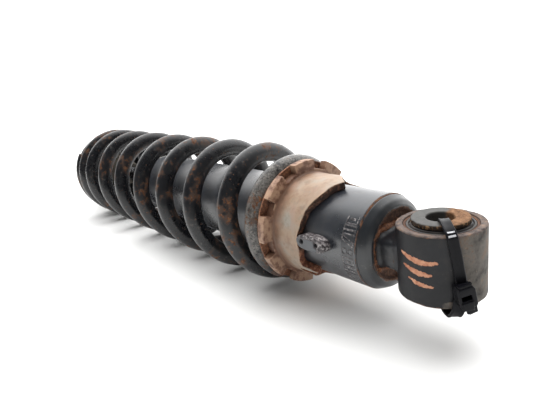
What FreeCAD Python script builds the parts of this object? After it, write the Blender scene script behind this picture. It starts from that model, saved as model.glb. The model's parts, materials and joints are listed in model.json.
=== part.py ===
import FreeCAD, Part
import math
import os
import re
import sys

import Sketcher

# Coil-over rear shock absorber.
# The body eye's bore centre is the origin and the bore runs along Z.
# The shock's own axis is X, with the rod end at negative X.

doc = FreeCAD.newDocument("rear_shock")
sheet = doc.addObject("Spreadsheet::Sheet", "dims")

DIMENSIONS = [
    # overall
    ("eye_to_eye", 438.0),
    # both eyes: housing, rubber bush, inner tube and flanged collars (radii and half lengths)
    ("eye_outer", 19.0),
    ("eye_half", 16.0),
    ("eye_bore", 15.8),
    ("sleeve_bore", 14.6),
    ("sleeve_half", 15.4),
    ("rubber_bore", 9.05),
    ("rubber_half", 12.8),
    ("inner_tube_outer", 9.0),
    ("inner_tube_half", 16.3),
    ("bolt_bore", 6.1),
    ("collar_outer", 12.6),
    ("collar_thick", 2.0),
    ("collar_spigot", 7.6),
    ("spigot_depth", 3.0),
    ("dust_seal_outer", 14.5),
    ("dust_seal_inner", 9.4),
    ("dust_seal_thick", 2.9),
    # welded neck between the body eye and the end cap
    ("neck_root", -26.0),
    ("neck_half_width", 14.0),
    ("neck_half_height", 8.0),
    # damper tube and its domed end cap
    ("tube_outer", 23.94),
    ("tube_bore", 22.0),
    ("seam_at", -29.5),
    ("tube_end", -265.0),
    ("cap_rim", -23.0),
    ("cap_face", -47.0),
    ("cap_shoulder", 23.3),
    ("cap_round", 5.6),
    ("recess_radius", 16.9),
    # lugs that the preload cam rests on
    ("lug_start", -64.0),
    ("lug_end", -44.5),
    ("lug_half_width", 3.8),
    ("lug_top", 29.0),
    ("lug_turn", 85.0),
    ("lug_hole", 1.25),
    ("lug_hole_one", -60.2),
    ("lug_hole_two", -50.0),
    ("lug_relief", 1.85),
    ("lug_relief_height", 0.6),
    # preload cam ring
    ("ring_bore", 24.25),
    ("ring_sleeve", 28.3),
    ("flange_outer", 35.5),
    ("flange_back", -88.0),
    ("flange_front", -83.0),
    ("gullet_floor", 30.4),
    ("gullet_angle", 16.0),
    ("gullet_count", 9.0),
    ("gullet_first", 31.5),
    ("cam_valley", -64.3),
    ("cam_rise", 2.55),
    ("cam_step_angle", 16.5),
    ("cam_steps", 4.0),
    ("cam_wall", 37.0),
    ("cam_relief", -67.0),
    ("cam_crest", -52.2),
    ("cam_stop", -54.6),
    ("cam_gap", -73.0),
    # slip washer between the ring and the spring
    ("washer_back", -89.6),
    ("washer_front", -88.3),
    ("washer_outer", 34.4),
    # coil spring
    ("wire_radius", 6.1),
    ("coil_radius", 36.9),
    ("spring_start", -95.9),
    ("spring_turns", 9.3),
    ("spring_tip_angle", 252.0),
    ("active_pitch", 40.6),
    ("near_pitch", 2.0),
    ("far_pitch", 12.4),
    ("near_taper", 6.2),
    ("far_taper", 0.9),
    # rod-side spring retainer
    ("retainer_face", -397.4),
    ("retainer_back", -401.2),
    ("retainer_outer", 38.0),
    ("retainer_spigot", 29.2),
    ("retainer_bore", 13.2),
    # damper rod, piston and valving
    ("rod_radius", 7.0),
    ("rod_socket_end", -418.0),
    ("rod_shoulder", -227.0),
    ("rod_tip", -199.0),
    ("rod_thread", 5.0),
    ("piston_back", -222.0),
    ("piston_front", -208.0),
    ("piston_outer", 21.85),
    ("band_outer", 21.95),
    ("shim_thick", 0.4),
    ("piston_nut_front", -201.0),
    ("piston_nut_flat", 7.0),
    # seal head
    ("head_back", -262.0),
    ("head_front", -240.0),
    ("head_outer", 21.95),
    ("guide_outer", 8.6),
    ("guide_bore", 7.05),
    ("lip_bore", 7.05),
    ("circlip_thick", 1.6),
    ("circlip_inner", 19.2),
    ("circlip_outer", 22.8),
    ("dust_cap_back", -268.5),
    ("topout_end", -228.0),
    # floating piston
    ("float_back", -108.0),
    ("float_front", -92.0),
    ("float_outer", 21.9),
    # bump stop and lock nut
    ("stop_cup_back", -390.3),
    ("stop_cup_front", -387.7),
    ("stop_front", -350.5),
    ("lock_nut_front", -390.3),
    ("lock_nut_flat", 11.0),
    # rod eye fitting
    ("fitting_radius", 15.5),
]
for row, (alias, size) in enumerate(DIMENSIONS, start=1):
    sheet.set("A%d" % row, alias)
    sheet.set("B%d" % row, str(size))
    sheet.setAlias("B%d" % row, alias)
doc.recompute()


def value(alias):
    return float(getattr(sheet, alias))


def bound(text):
    """An expression on the sheet, from a formula that names its aliases."""
    return re.sub(r"[a-z_]+", lambda word: "dims." + word.group(0), text)


def plane_of(body, role):
    return next(f for f in body.Origin.OriginFeatures if f.Role == role)


def new_body(label):
    body = doc.addObject("PartDesign::Body", label)
    body.Label = label
    return body


def new_sketch(body, role, lift=None):
    sketch = body.newObject("Sketcher::SketchObject", body.Label + "_sketch")
    sketch.AttachmentSupport = [(plane_of(body, role), "")]
    sketch.MapMode = "FlatFace"
    if lift:
        sketch.setExpression("AttachmentOffset.Base.z", bound(lift))
    return sketch


def outline(sketch, corners):
    """A closed polyline whose corners are all placed by the sheet."""
    count = len(corners)
    start = [
        FreeCAD.Vector(
            10 * math.cos(2 * math.pi * k / count), 10 * math.sin(2 * math.pi * k / count), 0
        )
        for k in range(count)
    ]
    first = sketch.GeometryCount
    for k in range(count):
        sketch.addGeometry(Part.LineSegment(start[k], start[(k + 1) % count]), False)
    for k in range(count):
        sketch.addConstraint(
            Sketcher.Constraint("Coincident", first + k, 2, first + (k + 1) % count, 1)
        )
    for k, (across, up) in enumerate(corners):
        for text, kind, axis, along in (
            (across, "DistanceX", -2, start[k].x),
            (up, "DistanceY", -1, start[k].y),
        ):
            if text == "0":
                sketch.addConstraint(Sketcher.Constraint("PointOnObject", first + k, 1, axis))
                continue
            index = sketch.addConstraint(Sketcher.Constraint(kind, -1, 1, first + k, 1, along))
            sketch.setExpression("Constraints[%d]" % index, bound(text))


def turned(label, corners, about="X", at=None):
    """A solid of revolution: corners are (along, radius) about X, or (radius, height) about Z."""
    body = new_body(label)
    sketch = new_sketch(body, "XY_Plane" if about == "X" else "XZ_Plane")
    outline(sketch, corners)
    feature = body.newObject("PartDesign::Revolution", label + "_revolve")
    feature.Profile = sketch
    feature.ReferenceAxis = (sketch, ["H_Axis" if about == "X" else "V_Axis"])
    feature.Angle = 360.0
    sketch.Visibility = False
    if at:
        body.setExpression("Placement.Base.x", bound(at))
    return body


def tube_piece(label, start, end, inner, outer):
    return turned(label, [(start, inner), (end, inner), (end, outer), (start, outer)])


def round_edges(body, base, size, wanted):
    """Fillets the base feature's edges that the test picks."""
    doc.recompute()
    names = ["Edge%d" % (k + 1) for k, edge in enumerate(base.Shape.Edges) if wanted(edge)]
    fillet = body.newObject("PartDesign::Fillet", body.Label + "_round")
    fillet.Base = (base, names)
    fillet.setExpression("Radius", bound(size))
    return fillet


def circle(sketch, across, up, radius):
    index = sketch.addGeometry(
        Part.Circle(FreeCAD.Vector(5, 5, 0), FreeCAD.Vector(0, 0, 1), 1.0), False
    )
    for text, kind, axis in ((across, "DistanceX", -2), (up, "DistanceY", -1)):
        if text == "0":
            sketch.addConstraint(Sketcher.Constraint("PointOnObject", index, 3, axis))
            continue
        place = sketch.addConstraint(Sketcher.Constraint(kind, -1, 1, index, 3, 5.0))
        sketch.setExpression("Constraints[%d]" % place, bound(text))
    size = sketch.addConstraint(Sketcher.Constraint("Radius", index, 1.0))
    sketch.setExpression("Constraints[%d]" % size, bound(radius))


def cut_through(body, sketch, name):
    """A pocket through everything, both ways from its sketch."""
    pocket = body.newObject("PartDesign::Pocket", name)
    pocket.Profile = sketch
    pocket.Type = "ThroughAll"
    pocket.Midplane = True
    sketch.Visibility = False
    return pocket


def hexagon_nut(label, start, end, flat, bore):
    """A hexagon nut about X with a round bore."""
    nut = doc.addObject("Part::Prism", label + "_hexagon")
    nut.Polygon = 6
    nut.setExpression("Circumradius", bound(flat + " / cos(30)").replace("dims.cos", "cos"))
    nut.setExpression("Height", bound("%s - (%s)" % (end, start)))
    nut.Placement = FreeCAD.Placement(
        FreeCAD.Vector(0, 0, 0), FreeCAD.Rotation(FreeCAD.Vector(0, 1, 0), 90)
    )
    nut.setExpression("Placement.Base.x", bound(start))
    hole = doc.addObject("Part::Cylinder", label + "_bore")
    hole.setExpression("Radius", bound(bore))
    hole.setExpression("Height", bound("%s - (%s) + 2" % (end, start)))
    hole.Placement = nut.Placement
    hole.setExpression("Placement.Base.x", bound(start + " - 1"))
    cut = doc.addObject("Part::Cut", label)
    cut.Base = nut
    cut.Tool = hole
    cut.Label = label
    return cut


nodes = []

# ---------------------------------------------------------------- the two eyes


def eye_housing_profile():
    edge = "0.8"
    return [
        ("eye_bore", "-eye_half + 0.6"),
        ("eye_bore + 0.6", "-eye_half"),
        ("eye_outer - " + edge, "-eye_half"),
        ("eye_outer", "-eye_half + " + edge),
        ("eye_outer", "eye_half - " + edge),
        ("eye_outer - " + edge, "eye_half"),
        ("eye_bore + 0.6", "eye_half"),
        ("eye_bore", "eye_half - 0.6"),
    ]


def pair_of(label, corners, at):
    """Two equal loose pieces, one at each end of an eye, in one compound."""
    upper = turned(label + "_upper", corners, "Z", at)
    lower = doc.addObject("Part::Mirroring", label + "_lower")
    lower.Source = upper
    lower.Base = FreeCAD.Vector(0, 0, 0)
    lower.Normal = FreeCAD.Vector(0, 0, 1)
    both = doc.addObject("Part::Compound", label)
    both.Links = [upper, lower]
    both.Label = label
    return both


def eye_inserts(prefix, at):
    """Bush sleeve, rubber, inner tube, collars and dust seals of one eye."""
    sleeve = turned(
        prefix + "_bush_sleeve",
        [
            ("sleeve_bore", "-sleeve_half"),
            ("eye_bore", "-sleeve_half"),
            ("eye_bore", "sleeve_half"),
            ("sleeve_bore", "sleeve_half"),
        ],
        "Z",
        at,
    )
    rubber = turned(
        prefix + "_bush_rubber",
        [
            ("rubber_bore", "-rubber_half"),
            ("sleeve_bore - 1.6", "-rubber_half"),
            ("sleeve_bore", "-rubber_half + 1.6"),
            ("sleeve_bore", "rubber_half - 1.6"),
            ("sleeve_bore - 1.6", "rubber_half"),
            ("rubber_bore", "rubber_half"),
        ],
        "Z",
        at,
    )
    inner = turned(
        prefix + "_inner_tube",
        [
            ("bolt_bore", "-inner_tube_half + spigot_depth"),
            ("collar_spigot", "-inner_tube_half + spigot_depth"),
            ("collar_spigot", "-inner_tube_half"),
            ("inner_tube_outer", "-inner_tube_half"),
            ("inner_tube_outer", "inner_tube_half"),
            ("collar_spigot", "inner_tube_half"),
            ("collar_spigot", "inner_tube_half - spigot_depth"),
            ("bolt_bore", "inner_tube_half - spigot_depth"),
        ],
        "Z",
        at,
    )
    collars = pair_of(
        prefix + "_collars",
        [
            ("bolt_bore", "inner_tube_half - spigot_depth"),
            ("collar_spigot", "inner_tube_half - spigot_depth"),
            ("collar_spigot", "inner_tube_half"),
            ("collar_outer", "inner_tube_half"),
            ("collar_outer", "inner_tube_half + collar_thick - 0.4"),
            ("collar_outer - 0.4", "inner_tube_half + collar_thick"),
            ("bolt_bore", "inner_tube_half + collar_thick"),
        ],
        at,
    )
    seals = pair_of(
        prefix + "_dust_seals",
        [
            ("dust_seal_inner", "eye_half - dust_seal_thick"),
            ("dust_seal_outer", "eye_half - dust_seal_thick"),
            ("dust_seal_outer", "eye_half - 0.3"),
            ("dust_seal_outer - 0.7", "eye_half - 0.3"),
            ("dust_seal_outer - 1.0", "eye_half - 1.1"),
            ("dust_seal_outer - 1.5", "eye_half - 1.1"),
            ("dust_seal_outer - 1.8", "eye_half - 0.2"),
            ("dust_seal_inner + 0.6", "eye_half - 0.2"),
            ("dust_seal_inner", "eye_half - 0.9"),
        ],
        at,
    )
    return [sleeve, rubber, inner, collars, seals]


nodes.append(turned("body_eye_housing", eye_housing_profile(), "Z"))
nodes += eye_inserts("body_eye", None)

# Neck: an oblong stub from the end cap's recess, hollowed to sit on the eye housing.
neck = new_body("body_eye_neck")
neck_sketch = new_sketch(neck, "YZ_Plane", "neck_root")
corner = "2.5"
outline(
    neck_sketch,
    [
        ("neck_half_width", "-neck_half_height + " + corner),
        ("neck_half_width", "neck_half_height - " + corner),
        ("neck_half_width - " + corner, "neck_half_height"),
        ("-neck_half_width + " + corner, "neck_half_height"),
        ("-neck_half_width", "neck_half_height - " + corner),
        ("-neck_half_width", "-neck_half_height + " + corner),
        ("-neck_half_width + " + corner, "-neck_half_height"),
        ("neck_half_width - " + corner, "-neck_half_height"),
    ],
)
neck_pad = neck.newObject("PartDesign::Pad", "neck_pad")
neck_pad.Profile = neck_sketch
neck_pad.setExpression("Length", bound("-neck_root - 6"))
neck_seat = new_sketch(neck, "XY_Plane")
circle(neck_seat, "0", "0", "eye_outer")
cut_through(neck, neck_seat, "neck_seat")
nodes.append(neck)

# Weld fillets where the neck meets the end cap's recess floor.
weld = new_body("neck_weld")
weld_sketch = new_sketch(weld, "YZ_Plane", "neck_root")
for width, height, cut in (
    ("(neck_half_width + 1.2)", "(neck_half_height + 1.2)", "3.2"),
    ("neck_half_width", "neck_half_height", "2.5"),
):
    outline(
        weld_sketch,
        [
            (width, "-%s + %s" % (height, cut)),
            (width, "%s - %s" % (height, cut)),
            ("%s - %s" % (width, cut), height),
            ("-%s + %s" % (width, cut), height),
            ("-" + width, "%s - %s" % (height, cut)),
            ("-" + width, "-%s + %s" % (height, cut)),
            ("-%s + %s" % (width, cut), "-" + height),
            ("%s - %s" % (width, cut), "-" + height),
        ],
    )
weld_pad = weld.newObject("PartDesign::Pad", "weld_pad")
weld_pad.Profile = weld_sketch
weld_pad.Length = 1.4
nodes.append(weld)

# ---------------------------------------------------------------- damper body

cap = turned(
    "end_cap",
    [
        ("cap_face", "0"),
        ("cap_face", "tube_bore"),
        ("seam_at", "tube_bore"),
        ("seam_at", "cap_shoulder"),
        ("cap_rim", "cap_shoulder"),
        ("cap_rim", "recess_radius"),
        ("neck_root", "recess_radius - 0.5"),
        ("neck_root", "0"),
    ],
)
round_edges(
    cap,
    cap.Tip,
    "cap_round",
    lambda edge: isinstance(edge.Curve, Part.Circle)
    and abs(edge.Curve.Radius - value("cap_shoulder")) < 0.01
    and abs(edge.Curve.Center.x - value("cap_rim")) < 0.01,
)
nodes.append(cap)

nodes.append(
    turned(
        "damper_tube",
        [
            ("tube_end", "tube_bore"),
            ("head_back - circlip_thick - 0.2", "tube_bore"),
            ("head_back - circlip_thick - 0.2", "circlip_outer"),
            ("head_back - 0.1", "circlip_outer"),
            ("head_back - 0.1", "tube_bore"),
            ("seam_at", "tube_bore"),
            ("seam_at", "cap_shoulder - 0.1"),
            ("seam_at - 0.8", "tube_outer"),
            ("tube_end + 0.6", "tube_outer"),
            ("tube_end", "tube_outer - 0.6"),
        ],
    )
)

nodes.append(
    turned(
        "seam_weld",
        [
            ("seam_at - 0.8", "tube_outer"),
            ("seam_at", "cap_shoulder - 0.1"),
            ("seam_at", "cap_shoulder"),
            ("seam_at + 0.9", "cap_shoulder"),
            ("seam_at + 0.5", "cap_shoulder + 0.6"),
            ("seam_at - 0.1", "tube_outer + 0.3"),
            ("seam_at - 0.7", "tube_outer + 0.25"),
        ],
    )
)


def lug(label, turn, drilled):
    """A stadium-shaped plate welded flat on the tube; turn is its place around the tube."""
    body = new_body(label)
    sketch = new_sketch(body, "XY_Plane", "tube_outer - 1.2")
    steps = 8
    corners = []
    for end, centre in ((1, "lug_end - lug_half_width"), (-1, "lug_start + lug_half_width")):
        for k in range(steps + 1):
            angle = math.radians(-90 + 180 * k / steps)
            across = math.cos(angle) * end
            up = math.sin(angle) * end
            corners.append(
                ("%s + (%.6f) * lug_half_width" % (centre, across), "%.6f * lug_half_width" % up)
            )
    outline(sketch, corners)
    pad = body.newObject("PartDesign::Pad", label + "_pad")
    pad.Profile = sketch
    pad.setExpression("Length", bound("lug_top - tube_outer + 1.2"))
    seat = new_sketch(body, "YZ_Plane")
    circle(seat, "0", "0", "tube_outer")
    cut_through(body, seat, label + "_seat")
    if drilled:
        holes = new_sketch(body, "XY_Plane")
        circle(holes, "lug_hole_one", "0", "lug_hole")
        circle(holes, "lug_hole_two", "0", "lug_hole")
        cut_through(body, holes, label + "_holes")
        relief = new_sketch(body, "XY_Plane", "tube_outer + lug_relief_height")
        circle(relief, "lug_hole_one", "0", "lug_relief")
        circle(relief, "lug_hole_two", "0", "lug_relief")
        mouth = body.newObject("PartDesign::Pocket", label + "_relief")
        mouth.Profile = relief
        mouth.Length = 3.0
        relief.Visibility = False
    body.Placement = FreeCAD.Placement(
        FreeCAD.Vector(0, 0, 0), FreeCAD.Rotation(FreeCAD.Vector(1, 0, 0), 0)
    )
    body.setExpression("Placement.Rotation.Axis.x", "1")
    body.setExpression("Placement.Rotation.Axis.z", "0")
    body.setExpression("Placement.Rotation.Angle", bound(turn))
    return body


nodes.append(lug("cam_lug_drilled", "lug_turn", True))
nodes.append(lug("cam_lug_plain", "lug_turn + 180", False))

# ---------------------------------------------------------------- preload cam ring

blank = turned(
    "cam_ring_blank",
    [
        ("flange_back", "ring_bore"),
        ("cam_crest", "ring_bore"),
        ("cam_crest", "ring_sleeve"),
        ("flange_front + 1", "ring_sleeve"),
        ("flange_front", "ring_sleeve + 1"),
        ("flange_front", "flange_outer"),
        ("flange_back", "flange_outer"),
    ],
)
gullet = new_sketch(blank, "YZ_Plane")
half = math.radians(value("gullet_angle") / 2)
outline(
    gullet,
    [
        ("gullet_floor * %.6f" % math.cos(a), "gullet_floor * %.6f" % math.sin(a))
        for a in (-half, half)
    ]
    + [
        ("(flange_outer + 3) * %.6f" % math.cos(a), "(flange_outer + 3) * %.6f" % math.sin(a))
        for a in (half, -half)
    ],
)
gullet_cut = cut_through(blank, gullet, "gullet_cut")
pattern = blank.newObject("PartDesign::PolarPattern", "gullet_pattern")
pattern.Originals = [gullet_cut]
pattern.Axis = (next(f for f in blank.Origin.OriginFeatures if f.Role == "X_Axis"), [""])
pattern.Angle = 360.0
pattern.setExpression("Occurrences", bound("gullet_count"))
blank.Tip = pattern
blank.Placement = FreeCAD.Placement(
    FreeCAD.Vector(0, 0, 0), FreeCAD.Rotation(FreeCAD.Vector(1, 0, 0), 0)
)
blank.setExpression("Placement.Rotation.Axis.x", "1")
blank.setExpression("Placement.Rotation.Axis.z", "0")
blank.setExpression("Placement.Rotation.Angle", bound("gullet_first"))


def cam_profile(cut_back):
    """One half turn of the sleeve's stepped end: (degrees back from the lug, place along X).

    Past the crest one half runs down slowly to the gap; the other is cut back, with a low tongue.
    """
    wall, step = value("cam_wall"), value("cam_step_angle")
    valley, gap, stop = value("cam_valley"), value("cam_gap"), value("cam_stop")
    line = [
        (-wall, value("cam_relief")),
        (-wall + 8, value("cam_relief")),
        (-wall + 14, valley),
        (0, valley),
    ]
    for k in range(1, int(value("cam_steps")) + 1):
        seat = valley + value("cam_rise") * k
        line += [(step * k - 6, seat - value("cam_rise")), (step * k + 2, seat)]
    line += [
        (step * value("cam_steps") + 10.4, seat),
        (78.5, value("cam_crest")),
        (80.0, value("cam_crest")),
    ]
    if cut_back:
        line += [(84.0, gap + 12), (92.0, gap + 1), (103.0, gap + 2.4), (118.0, gap + 6), (124.0, gap + 1)]
    else:
        line += [(105.0, gap + 7), (120.0, gap + 1.5)]
    line += [
        (130.0, gap),
        (136.0, gap + 1.5),
        # a stop stands between this half turn's gap and the next one's first seat
        (180 - wall - 3.4, stop),
        (180 - wall - 1.6, stop),
        (180 - wall, value("cam_relief")),
    ]
    return line


def half_cutter(cut_back):
    """What the sleeve's end loses over one half turn of the cam."""
    near = value("ring_bore") - 1.5
    far = value("ring_sleeve") + 1.5
    end = value("cam_crest") + 3.0
    sections = []
    for angle, edge in cam_profile(cut_back):
        around = math.radians(90.0 + value("lug_turn") - angle)
        direction = FreeCAD.Vector(0, math.cos(around), math.sin(around))
        along = FreeCAD.Vector(1, 0, 0)
        corners = [
            direction * near + along * edge,
            direction * far + along * edge,
            direction * far + along * end,
            direction * near + along * end,
        ]
        sections.append(Part.makePolygon(corners + [corners[0]]))
    return Part.makeLoft(sections, True, True)


def cam_cutter():
    """The two halves of the cam, opposite each other."""
    other = half_cutter(True)
    other.rotate(FreeCAD.Vector(0, 0, 0), FreeCAD.Vector(1, 0, 0), 180)
    return Part.makeCompound([half_cutter(False), other])


doc.recompute()
cutter = doc.addObject("Part::Feature", "cam_cutter")
cutter.Shape = cam_cutter()
ring = doc.addObject("Part::Cut", "preload_cam_ring")
ring.Base = blank
ring.Tool = cutter
ring.Label = "preload_cam_ring"
nodes.append(ring)

nodes.append(
    tube_piece("spring_slip_washer", "washer_back", "washer_front", "ring_bore + 4", "washer_outer")
)

# ---------------------------------------------------------------- coil spring


def ease(amount):
    amount = min(max(amount, 0.0), 1.0)
    return amount * amount * (3 - 2 * amount)


def spring_point(turn, along):
    total = value("spring_turns")
    radius = value("coil_radius")
    radius -= value("near_taper") * (1 - ease((turn - 0.2) / 1.4))
    radius -= value("far_taper") * (1 - ease((total - turn) / 1.2))
    around = math.radians(value("spring_tip_angle") - 360.0 * turn)
    return FreeCAD.Vector(along, radius * math.cos(around), radius * math.sin(around))


def spring_stations(per_turn):
    """Points on the wire's centre line and its direction at each, from the near tip."""
    total = value("spring_turns")
    count = int(round(total * per_turn))
    fine = 40
    points = []
    ways = []
    along = value("spring_start")
    for k in range(count * fine + 1):
        turn = total * k / (count * fine)
        near = ease((turn - 0.1) / 1.3)
        far = ease((total - 0.7 - turn) / 2.4)
        pitch = value("near_pitch") + (value("active_pitch") - value("near_pitch")) * near
        pitch = value("far_pitch") + (pitch - value("far_pitch")) * far if turn > total / 2 else pitch
        if k % fine == 0:
            points.append(spring_point(turn, along))
            small = 1e-4
            ahead = spring_point(turn + small, along - pitch * small)
            behind = spring_point(turn - small, along + pitch * small)
            ways.append((ahead - behind).normalize())
        along -= pitch * total / (count * fine)
    return points, ways


def arc_wall(start, way, end, radius):
    """The wire's surface along the arc that leaves start in direction way and reaches end."""
    chord = end - start
    normal = way.cross(chord).normalize()
    inward = normal.cross(way)
    arm = chord.Length ** 2 / (2 * chord.dot(inward))
    centre = start + inward * arm
    sweep = 2 * math.asin(chord.Length / (2 * arm))
    section = Part.makeCircle(radius, start, way)
    wall = section.revolve(centre, normal, math.degrees(sweep))
    leaving = FreeCAD.Rotation(normal, math.degrees(sweep)).multVec(way)
    return wall, leaving


def spring_solid():
    """The wire as a chain of tangent arcs, two between each pair of stations."""
    points, ways = spring_stations(4)
    radius = value("wire_radius")
    walls = []
    for p, t, q, u in zip(points, ways, points[1:], ways[1:]):
        v = q - p
        a = 2 * (t.dot(u) - 1)
        b = -2 * v.dot(t + u)
        c = v.dot(v)
        reach = (-b - math.sqrt(b * b - 4 * a * c)) / (2 * a)
        middle = (p + q + (t - u) * reach) * 0.5
        wall, leaving = arc_wall(p, t, middle, radius)
        walls += wall.Faces
        wall, leaving = arc_wall(middle, leaving, q, radius)
        walls += wall.Faces
    for point, way in ((points[0], ways[0]), (points[-1], ways[-1])):
        walls.append(Part.Face(Part.Wire([Part.makeCircle(radius, point, way)])))
    shell = Part.makeShell(walls)
    shell.sewShape()
    solid = Part.makeSolid(shell)
    if solid.Volume < 0:
        solid.reverse()
    return solid


spring = doc.addObject("Part::Feature", "coil_spring")
spring.Shape = spring_solid()
spring.Label = "coil_spring"
nodes.append(spring)

# ---------------------------------------------------------------- seal head

nodes.append(
    turned(
        "seal_head",
        [
            ("head_back", "13.6"),
            ("head_back + 7", "13.6"),
            ("head_back + 7", "guide_outer"),
            ("head_front", "guide_outer"),
            ("head_front", "head_outer - 1.5"),
            ("head_front - 1.5", "head_outer"),
            ("head_front - 7", "head_outer"),
            ("head_front - 7", "head_outer - 2"),
            ("head_front - 10", "head_outer - 2"),
            ("head_front - 10", "head_outer"),
            ("head_back", "head_outer"),
        ],
    )
)
nodes.append(tube_piece("rod_guide_bush", "head_back + 7", "head_front", "guide_bore", "guide_outer"))
nodes.append(
    turned(
        "rod_oil_seal",
        [
            ("head_back + 0.4", "9.2"),
            ("head_back + 3.2", "lip_bore"),
            ("head_back + 4.2", "lip_bore"),
            ("head_back + 6.8", "9.2"),
            ("head_back + 6.8", "13.5"),
            ("head_back + 0.4", "13.5"),
        ],
    )
)
nodes.append(
    tube_piece("seal_head_oring", "head_front - 9.8", "head_front - 7.2", "head_outer - 2", "tube_bore")
)
nodes.append(
    turned(
        "seal_circlip",
        [
            ("head_back - circlip_thick - 0.1", "circlip_inner"),
            ("head_back - 0.1", "circlip_inner"),
            ("head_back - 0.1", "circlip_outer"),
            ("head_back - circlip_thick - 0.1", "circlip_outer"),
        ],
    )
)
nodes.append(
    turned(
        "head_dust_cap",
        [
            ("dust_cap_back", "11.2"),
            ("tube_end", "11.2"),
            ("tube_end", "tube_outer - 0.2"),
            ("dust_cap_back + 1", "tube_outer - 0.2"),
            ("dust_cap_back", "tube_outer - 1.2"),
        ],
    )
)
nodes.append(
    turned(
        "rod_wiper",
        [
            ("dust_cap_back - 1.2", "lip_bore"),
            ("dust_cap_back - 0.6", "lip_bore"),
            ("tube_end", "9.0"),
            ("tube_end", "11.2"),
            ("dust_cap_back", "11.2"),
            ("dust_cap_back - 0.4", "9.6"),
        ],
    )
)
nodes.append(tube_piece("topout_bumper", "head_front", "topout_end", "7.4", "11.5"))

# ---------------------------------------------------------------- rod and piston

nodes.append(
    turned(
        "damper_rod",
        [
            ("rod_socket_end", "0"),
            ("rod_socket_end", "rod_radius - 1"),
            ("rod_socket_end + 1", "rod_radius"),
            ("rod_shoulder", "rod_radius"),
            ("rod_shoulder", "rod_thread"),
            ("rod_tip - 0.8", "rod_thread"),
            ("rod_tip", "rod_thread - 0.8"),
            ("rod_tip", "0"),
        ],
    )
)
nodes.append(
    turned(
        "damper_piston",
        [
            ("piston_back", "rod_thread"),
            ("piston_back", "9"),
            ("piston_back + 1.5", "10"),
            ("piston_back + 1.5", "18"),
            ("piston_back", "19"),
            ("piston_back", "piston_outer"),
            ("piston_back + 3", "piston_outer"),
            ("piston_back + 3", "piston_outer - 1.2"),
            ("piston_front - 3", "piston_outer - 1.2"),
            ("piston_front - 3", "piston_outer"),
            ("piston_front", "piston_outer"),
            ("piston_front", "19"),
            ("piston_front - 1.5", "18"),
            ("piston_front - 1.5", "10"),
            ("piston_front", "9"),
            ("piston_front", "rod_thread"),
        ],
    )
)
nodes.append(
    tube_piece("piston_band", "piston_back + 3", "piston_front - 3", "piston_outer - 1.2", "band_outer")
)


def shim_stack(label, face, way, widths):
    """Thin discs of falling width, stacked away from the piston face."""
    edge = "%s %s " % (face, "+" if way > 0 else "-")
    corners = [(face, "rod_thread")]
    for k, width in enumerate(widths):
        corners.append((edge + "%d * shim_thick" % k if k else face, str(width)))
        corners.append((edge + "%d * shim_thick" % (k + 1), str(width)))
    corners.append((edge + "%d * shim_thick" % len(widths), "rod_thread"))
    return turned(label, corners)


nodes.append(shim_stack("compression_shims", "piston_back", -1, [18.9, 17.5, 15.5, 13.0, 10.5]))
nodes.append(shim_stack("rebound_shims", "piston_front", 1, [18.9, 17.5, 15.5, 13.0, 10.5]))
nodes.append(
    tube_piece(
        "shim_washer_rod_side", "rod_shoulder", "piston_back - 5 * shim_thick", "rod_thread", "10"
    )
)
nodes.append(
    hexagon_nut(
        "piston_nut",
        "piston_front + 5 * shim_thick",
        "piston_nut_front",
        "piston_nut_flat",
        "rod_thread",
    )
)

# Floating piston that parts the oil from the gas.
nodes.append(
    turned(
        "floating_piston",
        [
            ("float_back", "0"),
            ("float_back", "float_outer"),
            ("float_back + 6.5", "float_outer"),
            ("float_back + 6.5", "float_outer - 2"),
            ("float_back + 9.5", "float_outer - 2"),
            ("float_back + 9.5", "float_outer"),
            ("float_front", "float_outer"),
            ("float_front", "15"),
            ("float_back + 5", "14"),
            ("float_back + 5", "0"),
        ],
    )
)
nodes.append(
    tube_piece(
        "floating_piston_oring", "float_back + 6.7", "float_back + 9.3", "float_outer - 2", "band_outer"
    )
)

# ---------------------------------------------------------------- rod end

nodes.append(
    turned(
        "spring_retainer",
        [
            ("retainer_back", "retainer_bore"),
            ("retainer_face + 7", "retainer_bore"),
            ("retainer_face + 7", "retainer_spigot - 3.2"),
            ("retainer_face + 5.5", "retainer_spigot - 0.6"),
            ("retainer_face", "retainer_spigot"),
            ("retainer_face", "retainer_outer"),
            ("retainer_back + 0.8", "retainer_outer"),
            ("retainer_back", "retainer_outer - 0.8"),
        ],
    )
)
nodes.append(
    hexagon_nut("rod_lock_nut", "retainer_back", "lock_nut_front", "lock_nut_flat", "rod_radius")
)
nodes.append(
    turned(
        "bump_stop_cup",
        [
            ("stop_cup_back", "rod_radius"),
            ("stop_cup_front", "rod_radius"),
            ("stop_cup_front", "16"),
            ("stop_cup_front + 3", "17.4"),
            ("stop_cup_front + 3", "18.6"),
            ("stop_cup_back", "17.6"),
        ],
    )
)
nodes.append(
    turned(
        "bump_stop",
        [
            ("stop_cup_front", "rod_radius"),
            ("stop_front", "rod_radius"),
            ("stop_front", "9.6"),
            ("stop_front - 6", "11.5"),
            ("stop_front - 10", "11.5"),
            ("stop_front - 12", "10"),
            ("stop_front - 14", "12"),
            ("stop_front - 22", "14"),
            ("stop_front - 24", "12.4"),
            ("stop_front - 26", "14.4"),
            ("stop_cup_front + 4", "16"),
            ("stop_cup_front", "16"),
        ],
    )
)

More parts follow.
